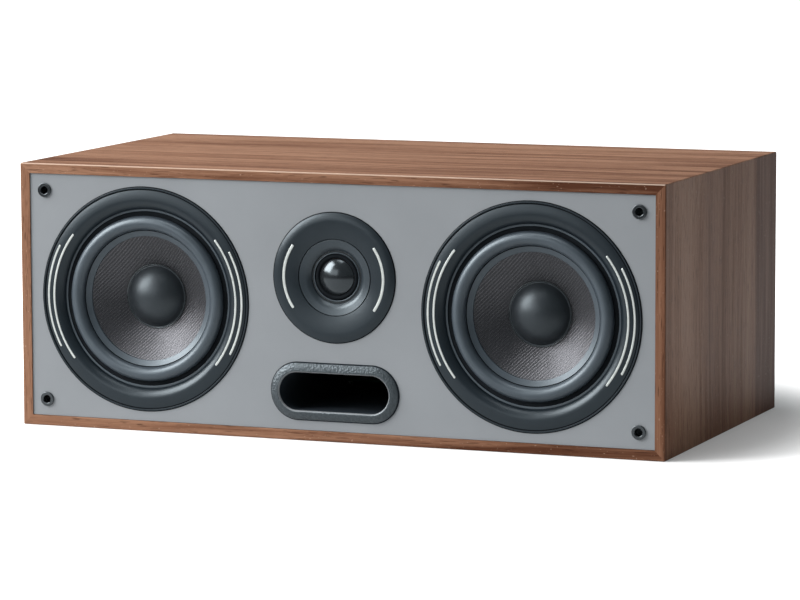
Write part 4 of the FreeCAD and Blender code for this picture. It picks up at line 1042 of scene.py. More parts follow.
class NodeTool:
    """A Geometry Nodes tree that makes a piece once and leaves a plain mesh."""

    def __init__(self, tree: Tree) -> None:
        """Note the identifier of each named input."""
        self.tree = tree
        self.sockets = {
            item.name: item.identifier
            for item in tree.interface.items_tree
            if item.item_type == "SOCKET" and item.in_out == "INPUT"
        }

    def run(self, host: Piece, values: Mapping[str, Value]) -> Piece:
        """Put the tree's result in place of a host's mesh.

        Args:
            host: object whose mesh is the tree's geometry.
            values: a value for each named input.

        Returns:
            The host, with a plain mesh and no modifier.
        """
        modifier = host.modifiers.new(self.tree.name, "NODES")
        modifier.node_group = self.tree
        for name, value in values.items():
            modifier[self.sockets[name]] = value
        return applied(host)


def node_tool(name: str, sizes: Mapping[str, tuple[str, Value]], draw: Drawing) -> NodeTool:
    """A tool whose tree ends in Realize Instances and Set Material.

    Args:
        name: the tree's name.
        sizes: socket type and default of each input besides Geometry and Material.
        draw: adds the nodes between the inputs and the socket of the shape, which it gives.

    Returns:
        The tool.
    """
    inputs = {"Geometry": (GEOMETRY, None), **sizes, "Material": (MATERIAL, None)}
    tree = new_tree("GeometryNodeTree", name, inputs, {"Geometry": GEOMETRY})
    pen = NodePen(tree)
    given = pen.add("NodeGroupInput").outputs
    plain = pen.add("GeometryNodeRealizeInstances", {"Geometry": draw(pen, given)})
    painted = pen.add("GeometryNodeSetMaterial", {
        "Geometry": plain.outputs[0], "Material": given["Material"]})
    pen.add("NodeGroupOutput", {"Geometry": painted.outputs[0]})
    return NodeTool(tree)


def moved(pen: NodePen, geometry: Value, turn: Colour = (0.0, 0.0, 0.0),
          shift: Value = (0.0, 0.0, 0.0)) -> Socket:
    """A geometry turned and then shifted by a Transform node."""
    inputs = {"Geometry": geometry, "Rotation": turn, "Translation": shift}
    return pen.add("GeometryNodeTransform", inputs).outputs[0]


BAR_POINTS = 420                    # points along an inlay's arc
BAR_ROUND = 0.3                     # rounding of a bar's edges, as share of its thickness
BAR_ROUND_STEPS = 3
BAR_LEAST = 0.002                   # floor of the square of a bar's taper at its very end


def inlay_tool() -> NodeTool:
    """A tree that lays a round-ended bar along an arc on both sides of an axis.

    Returns:
        A tool with inputs Radius, Half Angle, Width, Thickness, Centre and Material.
    """
    def draw(pen: NodePen, given: Any) -> Socket:
        """Sweep a rounded bar along the arc, taper its ends and add its twin."""
        half_width = pen.math("MULTIPLY", given["Width"], 0.5)
        reach = pen.math("ADD", given["Half Angle"], pen.math("DIVIDE", half_width, given["Radius"]))
        sweep = pen.math("MULTIPLY", reach, 2.0)
        arc = pen.add("GeometryNodeCurveArc", {
            "Resolution": BAR_POINTS, "Radius": given["Radius"], "Sweep Angle": sweep,
            "Start Angle": pen.math("MULTIPLY", reach, -1.0)}, mode="RADIUS")
        along = pen.add("GeometryNodeSplineParameter").outputs["Length"]
        length = pen.math("MULTIPLY", sweep, given["Radius"])
        from_end = pen.math("MINIMUM", along, pen.math("SUBTRACT", length, along))
        short = pen.math("MINIMUM", pen.math("DIVIDE", from_end, half_width), 1.0)
        fall = pen.math("POWER", pen.math("SUBTRACT", 1.0, short), 2.0)
        taper = pen.math("SQRT", pen.math("MAXIMUM", pen.math("SUBTRACT", 1.0, fall), BAR_LEAST))
        profile = pen.add("GeometryNodeCurvePrimitiveQuadrilateral", {
            "Width": given["Width"], "Height": given["Thickness"]}, mode="RECTANGLE")
        rounded = pen.add("GeometryNodeFilletCurve", {
            "Curve": profile.outputs[0], "Radius": pen.math("MULTIPLY", given["Thickness"], BAR_ROUND),
            "Count": BAR_ROUND_STEPS, "Limit Radius": True}, mode="POLY")
        bar = pen.add("GeometryNodeCurveToMesh", {
            "Curve": arc.outputs["Curve"], "Profile Curve": rounded.outputs[0], "Scale": taper,
            "Fill Caps": True})
        facing = moved(pen, bar.outputs[0], (math.pi / 2, 0.0, 0.0))
        pair = pen.add("GeometryNodeJoinGeometry")
        pen.feed(pair.inputs[0], facing)
        pen.feed(pair.inputs[0], moved(pen, facing, (0.0, math.pi, 0.0)))
        return moved(pen, pair.outputs[0], shift=given["Centre"])

    return node_tool("arc_inlay", {
        "Radius": (FLOAT, 0.07), "Half Angle": (FLOAT, 0.6), "Width": (FLOAT, 0.002),
        "Thickness": (FLOAT, 0.001), "Centre": (VECTOR, None)}, draw)


def corners_tool() -> NodeTool:
    """A tree that repeats a small piece on a grid in the XZ plane.

    Returns:
        A tool with inputs Span X, Span Z, Columns, Rows, Centre and Material.
    """
    def draw(pen: NodePen, given: Any) -> Socket:
        """Set a copy of the piece on each point of an upright grid."""
        grid = pen.add("GeometryNodeMeshGrid", {
            "Size X": given["Span X"], "Size Y": given["Span Z"], "Vertices X": given["Columns"],
            "Vertices Y": given["Rows"]})
        upright = moved(pen, grid.outputs["Mesh"], (math.pi / 2, 0.0, 0.0), given["Centre"])
        return pen.add("GeometryNodeInstanceOnPoints", {
            "Points": upright, "Instance": given["Geometry"]}).outputs[0]

    return node_tool("corner_grid", {
        "Span X": (FLOAT, 0.1), "Span Z": (FLOAT, 0.1), "Columns": (WHOLE, 2), "Rows": (WHOLE, 2),
        "Centre": (VECTOR, None)}, draw)


def flutes_tool() -> NodeTool:
    """A tree that presses grip flutes into a knob turned about Y.

    Returns:
        A tool with inputs Centre, Radius, Flute Radius, Count, Grip Start and Material.
    """
    def draw(pen: NodePen, given: Any) -> Socket:
        """Pull each vertex in to the wall of its flute."""
        place = pen.add("GeometryNodeInputPosition").outputs[0]
        parts = pen.split(pen.vector("SUBTRACT", place, given["Centre"]))
        angle = pen.math("ARCTAN2", parts["Z"], parts["X"])
        turns = pen.math("MULTIPLY", pen.math("DIVIDE", angle, 2 * math.pi), given["Count"])
        phase = pen.math("SUBTRACT", pen.math("FRACT", pen.math("ADD", turns, 0.5)), 0.5)
        pitch = pen.math("DIVIDE", pen.math("MULTIPLY", given["Radius"], 2 * math.pi), given["Count"])
        aside = pen.math("POWER", pen.math("ABSOLUTE", pen.math("MULTIPLY", phase, pitch)), 2.0)
        room = pen.math("SUBTRACT", pen.math("POWER", given["Flute Radius"], 2.0), aside)
        depth = pen.math("SQRT", pen.math("MAXIMUM", room, 0.0))
        past_start = pen.math("SUBTRACT", parts["Y"], given["Grip Start"])
        run_out = pen.remap(past_start, 0.0, given["Flute Radius"], way="SMOOTHSTEP")
        squares = (pen.math("POWER", parts[axis], 2.0) for axis in ("X", "Z"))
        reach = pen.math("SQRT", pen.math("ADD", *squares))
        wall = pen.math("SUBTRACT", given["Radius"], pen.math("MULTIPLY", depth, run_out))
        share = pen.math("DIVIDE", pen.math("MINIMUM", reach, wall), reach)
        x, z = (pen.math("MULTIPLY", parts[axis], share) for axis in ("X", "Z"))
        pressed = pen.vector("ADD", pen.join(x, parts["Y"], z), given["Centre"])
        return pen.add("GeometryNodeSetPosition", {
            "Geometry": given["Geometry"], "Position": pressed}).outputs[0]

    return node_tool("grip_flutes", {
        "Centre": (VECTOR, None), "Radius": (FLOAT, 0.006), "Flute Radius": (FLOAT, 0.0007),
        "Count": (FLOAT, 16.0), "Grip Start": (FLOAT, 0.0)}, draw)


# Setting pieces on the frame

def coat(piece: Piece, finish: Finish) -> None:
    """Leave an object with the material of a finish alone."""
    piece.data.materials.clear()
    piece.data.materials.append(finish.material())


class Bench:
    """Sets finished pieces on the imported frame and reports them."""

    def __init__(self, frame: Mapping[str, Any]) -> None:
        """Keep the frame's nodes and make the shared tools."""
        self.nodes = frame["nodes"]
        self.inlays = inlay_tool()
        self.corners = corners_tool()
        self.flutes = flutes_tool()

    def dress(self, node: str, finish: Finish) -> None:
        """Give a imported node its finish."""
        coat(self.nodes[node], finish)
        LOG.info("%s keeps its solid, in %s", node, finish.name)

    def dress_all(self, finishes: Mapping[str, Finish], prefix: str = "") -> None:
        """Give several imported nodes, whose names share a prefix, their finishes."""
        for node, finish in finishes.items():
            self.dress(prefix + node, finish)

    def paint(self, piece: Piece, finish: Finish) -> None:
        """Give a new piece its finish."""
        coat(piece, finish)

    def fit(self, piece: Piece, body: Body, finish: Finish, *nodes: str) -> None:
        """Set a piece on a body.

        Args:
            piece: the new piece.
            body: the body that carries it.
            finish: its finish.
            nodes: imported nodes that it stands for.
        """
        self.paint(piece, finish)
        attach(piece, body.value)
        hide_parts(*nodes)
        LOG.info("%s rides on %s, in %s", piece.name, body.value, finish.name)

    def flex(self, piece: Piece, moving: Body, finish: Finish, node: str, axis: Vector,
             inner: float, outer: float) -> None:
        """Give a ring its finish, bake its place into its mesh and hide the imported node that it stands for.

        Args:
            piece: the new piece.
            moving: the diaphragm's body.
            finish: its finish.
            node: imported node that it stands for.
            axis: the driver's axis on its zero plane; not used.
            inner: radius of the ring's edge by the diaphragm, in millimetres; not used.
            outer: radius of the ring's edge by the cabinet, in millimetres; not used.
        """
        self.paint(piece, finish)
        start, end = (axis + Vector((r * MM, 0, 0)) for r in (outer, inner))
        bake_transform(piece)
        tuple(start)
        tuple(end)
        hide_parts(node)
        LOG.info("%s flexes between cabinet and %s, in %s", piece.name, moving.value, finish.name)


def middle(node: str) -> Vector:
    """The middle of a node's box."""
    low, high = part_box(node)
    return (low + high) / 2


def face_axis(node: str) -> Vector:
    """Where a front piece's axis meets the baffle's face."""
    spot = middle(node)
    return Vector((spot.x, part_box("front_baffle")[0].y, spot.z))


def zoned(piece: Piece, axis: Vector, zone: Callable[[float, float], int], *finishes: Finish,
          straight: float = 0.0) -> None:
    """Give parts of a turned piece finishes of their own.

    Args:
        piece: the piece, which has its first finish.
        axis: the piece's axis on the plane that f counts from.
        zone: number of the finish at a spot of the section, as r and f in millimetres, 0 for the first.
        finishes: the finishes from number 1 on.
        straight: length of an oblong piece's straight part, in millimetres.
    """
    for finish in finishes:
        piece.data.materials.append(finish.material())
    for face in piece.data.polygons:
        off = (face.center - axis) / MM
        past_straight = max(0.0, abs(off.x) - straight / 2)
        face.material_index = int(zone(math.hypot(past_straight, off.z), -off.y))


def driver_axis(node: str) -> Vector:
    """Where a driver's axis meets its zero plane."""
    return face_axis(node) + Vector((0, DRIVER_SET * MM, 0))


# Sub-assemblies

def lined_edge(flange_r: float, outer_r: float) -> list[Corner]:
    """The step on the baffle round a driver's trim, which is painted black as a shade line."""
    step = DRIVER_SET + LINE_H
    rows = ((flange_r, DRIVER_SET), (outer_r, DRIVER_SET), (outer_r, step), (outer_r - LINE_W, step))
    return [Corner(*row) for row in rows]


@dataclass
class Cabinet:
    """The walnut sleeve with its baffle and back panel.

    Attributes:
        top_bands: bands of the level boards' figure, as Walnut has them.
        side_bands: bands of the upright boards' figure.
    """

    top_bands: tuple[tuple[float, float], ...] = (
        (0.0, 0.1), (0.3, 0.3), (0.5, 0.3), (0.6, -0.1), (0.68, 0.7), (0.82, 0.5), (0.92, 0.9), (0.97, -0.2))
    side_bands: tuple[tuple[float, float], ...] = (
        (0.0, 0.2), (0.12, 0.6), (0.33, 0.5), (0.38, -0.2), (0.46, 0.2), (0.6, 0.35), (0.78, 0.3),
        (0.83, -0.9), (1.0, -0.9))

    def build(self, bench: Bench) -> None:
        """Dress the boards."""
        top_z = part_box("top_panel")[1].z
        level = Walnut(
            "walnut_level", GrainWay.LEVEL, self.top_bands, edge_slant=-0.42, edge_middle=-0.07, highlight_height=top_z)
        upright = Walnut(
            "walnut_upright", GrainWay.UPRIGHT, self.side_bands, shift=0.31, rough=0.45, swing=0.17,
            spread=0.19)
        bench.dress_all({
            "top_panel": level, "bottom_panel": level, "left_side_panel": upright,
            "right_side_panel": upright, "front_baffle": GREY_PAINT, "back_panel": BACK_VINYL})


@dataclass(frozen=True)
class Inlay:
    """A pair of bright bars let into a driver's trim, in millimetres.

    Attributes:
        radius: the bars' radius about the driver's axis.
        half_deg: half the angle that a bar spans.
        width: a bar's width.
        thick: its thickness.
        proud: how far it stands out of the slope that carries it.
    """

    radius: float
    half_deg: float
    width: float
    thick: float
    proud: float = 0.22

    def build(self, bench: Bench, name: str, node: str, axis: Vector, slope_f: float) -> None:
        """Lay the bars.

        Args:
            bench: where pieces are set.
            name: the piece's name.
            node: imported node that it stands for.
            axis: the driver's axis on its zero plane.
            slope_f: height of the slope at the bars' radius.
        """
        centre_f = slope_f + self.proud - self.thick / 2
        piece = new_piece(name, bpy.data.meshes.new("bar"))
        bench.inlays.run(piece, {
            "Radius": self.radius * MM, "Half Angle": math.radians(self.half_deg), "Width": self.width * MM,
            "Thickness": self.thick * MM, "Centre": axis + Vector((0, -centre_f * MM, 0)),
            "Material": SILVER.material()})
        bench.fit(piece, Body.CABINET, SILVER, node)


@dataclass
class Woofer:
    """A woofer's trim ring, inlays, surround, cone and cap, and the motor behind them, in millimetres.

    Names that end in _r are radii, in _f or _h places along the axis and in _round fillets. The line painted
    black round the ring as shade ends line_end under the lip, and the rubber's grooves are painted black as
    shade from dark_start under its face.
    """

    side: Side
    ring_r: float = 83.0
    flange_r: float = 80.0
    flange_f: float = -1.8
    lip_h: float = 2.9
    groove_w: float = 1.0
    groove_depth: float = 0.65
    groove_wall: float = 0.15
    band_r: float = 80.3
    edge_h: float = 2.5
    ridge_r: float = 72.5
    ridge_h: float = 3.6
    crown: float = 0.3
    shoulder: float = 0.9
    inner_r: float = 66.0
    inner_h: float = -1.3
    lip_round: float = 0.3
    groove_mouth_round: float = 0.12
    groove_round: float = 0.08
    groove_foot_round: float = 0.05
    ridge_round: float = 1.0
    inner_round: float = 0.2
    line_end: float = 0.4
    inner_inlay: Inlay = Inlay(radius=73.0, half_deg=38.5, width=1.6, thick=1.0)
    outer_inlay: Inlay = Inlay(radius=77.6, half_deg=28.5, width=1.6, thick=1.0)
    seat_f: float = -3.0
    rubber: float = 1.0
    surround_r: float = 66.5
    strip_r: float = 64.5
    strip_round: float = 0.3
    channel_f: float = -2.75
    channel_wall: float = 0.3
    channel_round: float = 0.2
    roll_out: float = 61.0
    roll_in: float = 50.6
    foot_w: float = 0.6
    foot_f: float = -2.7
    foot_wall: float = 0.2
    foot_round: float = 0.1
    foot_lip_round: float = 0.15
    dark_start: float = 0.15
    lip_r: float = 45.9
    lip_drop: float = 2.2
    glue: float = 0.05
    cone_thick: float = 0.8
    cone_depth: float = 17.5
    neck_r: float = 16.05
    cap_r: float = 22.5
    cap_rise: float = 13.0
    cap_thick: float = 0.8
    cap_foot: float = 1.4
    cap_round: float = 0.6
    cap_foot_round: float = 0.4
    spider_r: float = 41.0
    spider_ledge: float = 5.0
    spider_f: float = -33.0
    spider_thick: float = 0.6
    spider_wave: float = 1.2
    spider_waves: int = 6
    spider_collar: float = 2.0

    def node(self, piece: str) -> str:
        """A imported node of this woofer."""
        return f"{self.side.value}_woofer_{piece}"

    @property
    def cone_body(self) -> Body:
        """The body that the cone moves with."""
        return Body.LEFT_CONE if self.side is Side.LEFT else Body.RIGHT_CONE

    @property
    def spider_span(self) -> tuple[float, float]:
        """Inner and outer radius of the spider's waves."""
        return self.neck_r + self.spider_thick, self.spider_r - self.spider_ledge

    def band_f(self, r: float) -> float:
        """Height of the ring's crowned band at a radius."""
        share = (self.band_r - r) / (self.band_r - self.ridge_r)
        return self.edge_h + share * (self.ridge_h - self.edge_h) + 4 * self.crown * share * (1 - share)

    def cone_f(self, r: float) -> float:
        """Height of the cone's face at a radius inside the surround's lip."""
        edge = self.seat_f - self.lip_drop - self.glue
        return edge - self.cone_depth * (self.lip_r - r) / (self.lip_r - self.neck_r)

    def ring_section(self) -> list[Corner]:
        """The trim ring: flat lip, fine groove, crowned band, ridge and rounded inner slope."""
        floor = self.lip_h - self.groove_depth
        return [
            Corner(self.inner_r, self.flange_f),
            Corner(self.flange_r, self.flange_f),
            *lined_edge(self.flange_r, self.ring_r),
            Corner(self.ring_r - LINE_W, self.lip_h, self.lip_round),
            Corner(self.band_r + self.groove_w, self.lip_h, self.groove_mouth_round),
            Corner(self.band_r + self.groove_w - self.groove_wall, floor, self.groove_round),
            Corner(self.band_r + self.groove_wall, floor, self.groove_foot_round),
            Corner(self.band_r, self.edge_h, self.groove_round),
            Corner(self.ridge_r, self.ridge_h, self.ridge_round, -self.crown),
            Corner(self.inner_r, self.inner_h, self.inner_round, -self.shoulder),
        ]

    def surround_section(self) -> list[Corner]:
        """The rubber roll with its two lips, a channel outside its foot and a fine groove inside."""
        top = self.seat_f + self.rubber
        half = (self.roll_out - self.roll_in) / 2
        thin = self.rubber
        return [
            Corner(self.surround_r, self.seat_f),
            Corner(self.surround_r, top),
            Corner(self.strip_r, top, self.strip_round),
            Corner(self.strip_r - self.channel_wall, self.channel_f, self.channel_round),
            Corner(self.roll_out, self.channel_f, self.strip_round),
            Corner(self.roll_out, top),
            Corner(self.roll_in, top, 0.0, -half),
            Corner(self.roll_in, self.foot_f, self.foot_round),
            Corner(self.roll_in - self.foot_w + self.foot_wall, self.foot_f, self.foot_round),
            Corner(self.roll_in - self.foot_w, top - self.foot_wall, self.foot_lip_round),
            Corner(self.lip_r, top - self.lip_drop, self.strip_round),
            Corner(self.lip_r, self.seat_f - self.lip_drop),
            Corner(self.roll_in, self.seat_f),
            Corner(self.roll_in + thin, self.seat_f),
            Corner(self.roll_in + thin, top),
            Corner(self.roll_out - thin, top, 0.0, half - thin),
            Corner(self.roll_out - thin, self.seat_f),
        ]

    def in_painted_shade(self, r: float, f: float) -> bool:
        """Whether a spot lies in the ring's fine groove or on the line round it, which are painted black as
        shade.
        """
        on_shade_line = r > self.ring_r - LINE_W - NEAR and f < self.lip_h - self.line_end
        across_groove = self.band_r < r < self.band_r + self.groove_w
        return on_shade_line or across_groove and DRIVER_SET < f < self.edge_h - NEAR

    def on_foot(self, r: float, f: float) -> bool:
        """Whether a spot of the section lies on the rim of the cap's foot."""
        return r > self.cap_r + self.cap_foot / 2 and f > self.cone_f(self.cap_r + self.cap_foot)

    def in_shaded_channel(self, r: float, f: float) -> bool:
        """Whether a spot of the section lies in the surround's channel or foot groove, which are painted
        black as shade.
        """
        edge = self.seat_f + self.rubber - self.dark_start
        in_foot = self.roll_in - self.foot_w < r < self.roll_in + NEAR
        return f < edge and (in_foot or self.roll_out - NEAR < r < self.strip_r)

    def cone_section(self) -> list[Corner]:
        """The cone, thin and straight, with its rim under the surround's lip."""
        front = [
            (self.roll_in, self.seat_f - self.glue),
            (self.lip_r, self.cone_f(self.lip_r)),
            (self.neck_r, self.cone_f(self.neck_r)),
        ]
        back = [(r, f - self.cone_thick) for r, f in reversed(front)]
        return [Corner(r, f) for r, f in front + back]

    def cap_section(self) -> list[Corner]:
        """The domed cap with its narrow foot."""
        base = self.cone_f(self.cap_r) + self.cap_thick
        apex = self.cone_f(self.cap_r) + self.cap_rise
        foot_r, inner_r = self.cap_r + self.cap_foot, self.cap_r - self.cap_thick
        inner_base = self.cone_f(inner_r) + self.glue
        outer_bulge = arc_bulge(self.cap_r, apex - base)
        inner_bulge = arc_bulge(inner_r, apex - self.cap_thick - inner_base)
        return [
            Corner(0.0, apex),
            Corner(self.cap_r, base, self.cap_round, outer_bulge),
            Corner(foot_r, self.cone_f(foot_r) + self.cap_thick, self.cap_foot_round),
            Corner(foot_r, self.cone_f(foot_r) + self.glue),
            Corner(inner_r, inner_base),
            Corner(0.0, apex - self.cap_thick, 0.0, -inner_bulge),
        ]

    def spider_section(self) -> list[Corner]:
        """The corrugated disc from the coil former to the basket's ledge."""
        flat = self.spider_f + self.spider_thick
        collar, ledge = self.spider_span
        step = (ledge - collar) / self.spider_waves
        swings = [self.spider_wave * (1 if i % 2 else -1) for i in range(self.spider_waves)]
        front = [Corner(collar + (i + 1) * step, flat, 0.0, s) for i, s in enumerate(swings)]
        back = [
            Corner(collar + i * step, self.spider_f, 0.0, -s) for i, s in reversed(list(enumerate(swings)))
        ]
        return [
            Corner(self.neck_r, flat + self.spider_collar),
            Corner(collar, flat + self.spider_collar),
            Corner(collar, flat),
            *front,
            Corner(self.spider_r, flat),
            Corner(self.spider_r, self.spider_f),
            Corner(ledge, self.spider_f),
            *back,
            Corner(self.neck_r, self.spider_f),
        ]

    def build(self, bench: Bench) -> None:
        """Make the woofer's front and dress its motor."""
        axis = driver_axis(self.node("trim_ring"))
        ring = turned(self.node("ring"), self.ring_section(), axis)
        bench.fit(ring, Body.CABINET, SLATE_SATIN, self.node("trim_ring"))
        # The ring's fine groove and outline get near-black as painted shade.
        zoned(ring, axis, self.in_painted_shade, SHADE_BLACK)
        for place, inlay in (("inner", self.inner_inlay), ("outer", self.outer_inlay)):
            name, slope_f = self.node(f"inlays_{place}"), self.band_f(inlay.radius)
            inlay.build(bench, name, self.node("ring_inlays"), axis, slope_f)
        roll = turned(self.node("roll"), self.surround_section(), axis)
        bench.flex(roll, self.cone_body, RUBBER, self.node("surround"), axis, self.roll_in, self.roll_out)
        # The surround's channel and foot groove get near-black as painted shade.
        zoned(roll, axis, self.in_shaded_channel, SHADE_BLACK)
        cone = turned(self.node("woven_cone"), self.cone_section(), axis)
        bench.fit(cone, self.cone_body, CONE_CLOTH, self.node("cone"))
        cap = turned(self.node("cap"), self.cap_section(), axis, steps=DOME_STEPS)
        bench.fit(cap, self.cone_body, CAP_SATIN, self.node("dust_cap"))
        zoned(cap, axis, self.on_foot, GLOSS_BLACK)
        spider = turned(self.node("spider_disc"), self.spider_section(), axis, steps=DOME_STEPS)
        bench.flex(spider, self.cone_body, SPIDER_CLOTH, self.node("spider"), axis, *self.spider_span)
        bench.dress_all({
            "gasket": GASKET_FOAM, "basket": CAST_FRAME, "voice_coil": COPPER, "top_plate": STEEL,
            "magnet": FERRITE, "yoke": STEEL}, self.node(""))


@dataclass
class Tweeter:
    """The tweeter's disc, waveguide, clamp ring, surround and dome, and its motor, in millimetres.

    The fields are named as the woofer's. The black line painted round the disc as shade ends line_end under
    the rim.
    """

    disc_r: float = 47.7
    rim_h: float = 2.8
    edge_h: float = 3.2
    edge_w: float = 1.7
    crest_r: float = 40.7
    crest_h: float = 4.2
    crown: float = 0.3
    dish: float = -0.35
    seam_r: float = 27.6
    seam_h: float = 1.9
    seam_gap: float = 0.4
    seam_ease: float = 0.12
    seam_round: float = 0.12
    rim_round: float = 0.15
    edge_round: float = 0.4
    crest_round: float = 0.8
    line_end: float = 0.2
    inlay: Inlay = Inlay(radius=38.6, half_deg=35.0, width=2.1, thick=1.05)
    flange: float = 4.0
    flange_r: float = 44.1
    throat_r: float = 19.4
    throat_f: float = -2.2
    throat_round: float = 0.3
    bend_r: float = 21.8
    bend_f: float = 0.2
    bend_round: float = 1.6
    dome_r: float = 13.4
    dome_rise: float = 5.5
    dome_thick: float = 0.4
    dome_seat: float = 0.6
    roll: float = 3.2
    roll_lip: float = 1.8
    roll_thick: float = 0.3
    roll_round: float = 0.2
    glue: float = 0.05
    clamp_thick: float = 0.8
    clamp_round: float = 0.2
    bead_w: float = 0.8
    bead_rise: float = 0.6
    lip_fit: float = 0.2

    @property
    def roll_span(self) -> tuple[float, float]:
        """Inner and outer radius of the dome's roll."""
        inner = self.dome_r + self.glue
        return inner, inner + self.roll

    def disc_section(self) -> list[Corner]:
        """The trim disc, whose slope runs in from a low crest to the waveguide."""
        inner = self.seam_r + self.seam_gap + self.seam_ease
        return [
            Corner(inner, 0.0),
            Corner(self.flange_r, 0.0),
            *lined_edge(self.flange_r, self.disc_r),
            Corner(self.disc_r - LINE_W, self.rim_h, self.rim_round),
            Corner(self.disc_r - self.edge_w, self.edge_h, self.edge_round),
            Corner(self.crest_r, self.crest_h, self.crest_round, -self.crown),
            Corner(inner, self.seam_h, self.seam_round, self.dish),
        ]

    def slope_f(self, r: float) -> float:
        """Height of the disc's slope at a radius."""
        share = (r - self.seam_r) / (self.crest_r - self.seam_r)
        return self.seam_h + share * (self.crest_h - self.seam_h) - 4 * self.dish * share * (1 - share)

    def on_shade_line(self, r: float, f: float) -> bool:
        """Whether a spot of the section lies on the line round the disc, which is painted black as shade."""
        return r > self.disc_r - LINE_W - NEAR and f < self.rim_h - self.line_end

    def flange_section(self) -> list[Corner]:
        """The flange and the waveguide that it carries."""
        return [
            Corner(self.throat_r, self.throat_f, self.throat_round),
            Corner(self.bend_r, self.bend_f, self.bend_round),
            Corner(self.seam_r - self.seam_ease, self.seam_h, self.seam_round),
            Corner(self.seam_r - self.seam_ease, 0.0),
            Corner(self.flange_r, 0.0),
            Corner(self.flange_r, -self.flange),
            Corner(self.throat_r, -self.flange),
        ]

    def clamp_section(self) -> list[Corner]:
        """The clamp ring with its fine bead."""
        floor = self.roll_thick - self.flange
        roll_end = self.roll_span[1]
        inner, outer = roll_end + self.seam_gap, self.throat_r - self.glue
        top = floor + self.clamp_thick
        lip = roll_end + self.roll_lip + self.lip_fit
        return [
            Corner(inner, floor),
            Corner(inner, top),
            Corner(inner + self.bead_w, top, 0.0, self.bead_rise),
            Corner(outer, top, self.clamp_round),
            Corner(outer, -self.flange),
            Corner(lip, -self.flange),
            Corner(lip, floor),
        ]

    def on_bead_highlight(self, r: float, f: float) -> bool:
        """Whether a spot of the section lies on the clamp ring's bead, which gets the lighter rubber finish
        as a painted highlight.
        """
        top = self.roll_thick - self.flange + self.clamp_thick
        return f > top and r < self.dome_r + self.roll + self.seam_gap + 2 * self.bead_w

    def surround_section(self) -> list[Corner]:
        """The dome's small roll."""
        thin, floor = self.roll_thick, -self.flange
        top = floor + thin
        inner, outer = self.roll_span
        half = self.roll / 2
        return [
            Corner(outer + self.roll_lip, floor),
            Corner(outer + self.roll_lip, top),
            Corner(outer, top, self.roll_round),
            Corner(inner, top, 0.0, -half),
            Corner(inner, floor),
            Corner(inner + thin, floor),
            Corner(inner + thin, top),
            Corner(outer - thin, top, 0.0, half - thin),
            Corner(outer - thin, floor),
        ]

    def dome_section(self) -> list[Corner]:
        """The dome, a thin shell."""
        base = self.dome_seat - self.flange
        apex = base + self.dome_rise
        inner = self.dome_r - self.dome_thick
        return [
            Corner(0.0, apex),
            Corner(self.dome_r, base, 0.0, arc_bulge(self.dome_r, self.dome_rise)),
            Corner(inner, base),
            Corner(0.0, apex - self.dome_thick, 0.0, -arc_bulge(inner, self.dome_rise - self.dome_thick)),
        ]

    def build(self, bench: Bench) -> None:
        """Make the tweeter's front and dress its motor."""
        axis = driver_axis("tweeter_trim_disc")
        disc = turned("tweeter_disc", self.disc_section(), axis)
        bench.fit(disc, Body.CABINET, SLATE_SATIN, "tweeter_trim_disc")
        # The line round the disc gets near-black as painted shade.
        zoned(disc, axis, self.on_shade_line, SHADE_BLACK)
        guide = turned("tweeter_waveguide", self.flange_section(), axis)
        bench.fit(guide, Body.CABINET, GUIDE_SATIN_PAINTED_LIGHT, "tweeter_flange")
        clamp = turned("tweeter_clamp", self.clamp_section(), axis, steps=DOME_STEPS)
        bench.fit(clamp, Body.CABINET, GLOSS_BLACK, "tweeter_clamp_ring")
        # The bead gets the lighter rubber finish as a painted highlight.
        zoned(clamp, axis, self.on_bead_highlight, RUBBER)
        dome = turned("tweeter_silk_dome", self.dome_section(), axis, steps=DOME_STEPS)
        bench.fit(dome, Body.DOME, DOME_SILK, "tweeter_dome")
        # The dome's roll is painted near-black, as shade.
        roll = turned("tweeter_roll", self.surround_section(), axis, steps=DOME_STEPS)
        bench.flex(roll, Body.DOME, SHADE_BLACK, "tweeter_surround", axis, *self.roll_span)
        slope_f = self.slope_f(self.inlay.radius)
        self.inlay.build(bench, "tweeter_disc_inlays", "tweeter_inlays", axis, slope_f)
        bench.dress_all({
            "voice_coil": COPPER, "top_plate": STEEL, "magnet": FERRITE, "yoke": STEEL,
            "rear_chamber": GLOSS_BLACK}, "tweeter_")


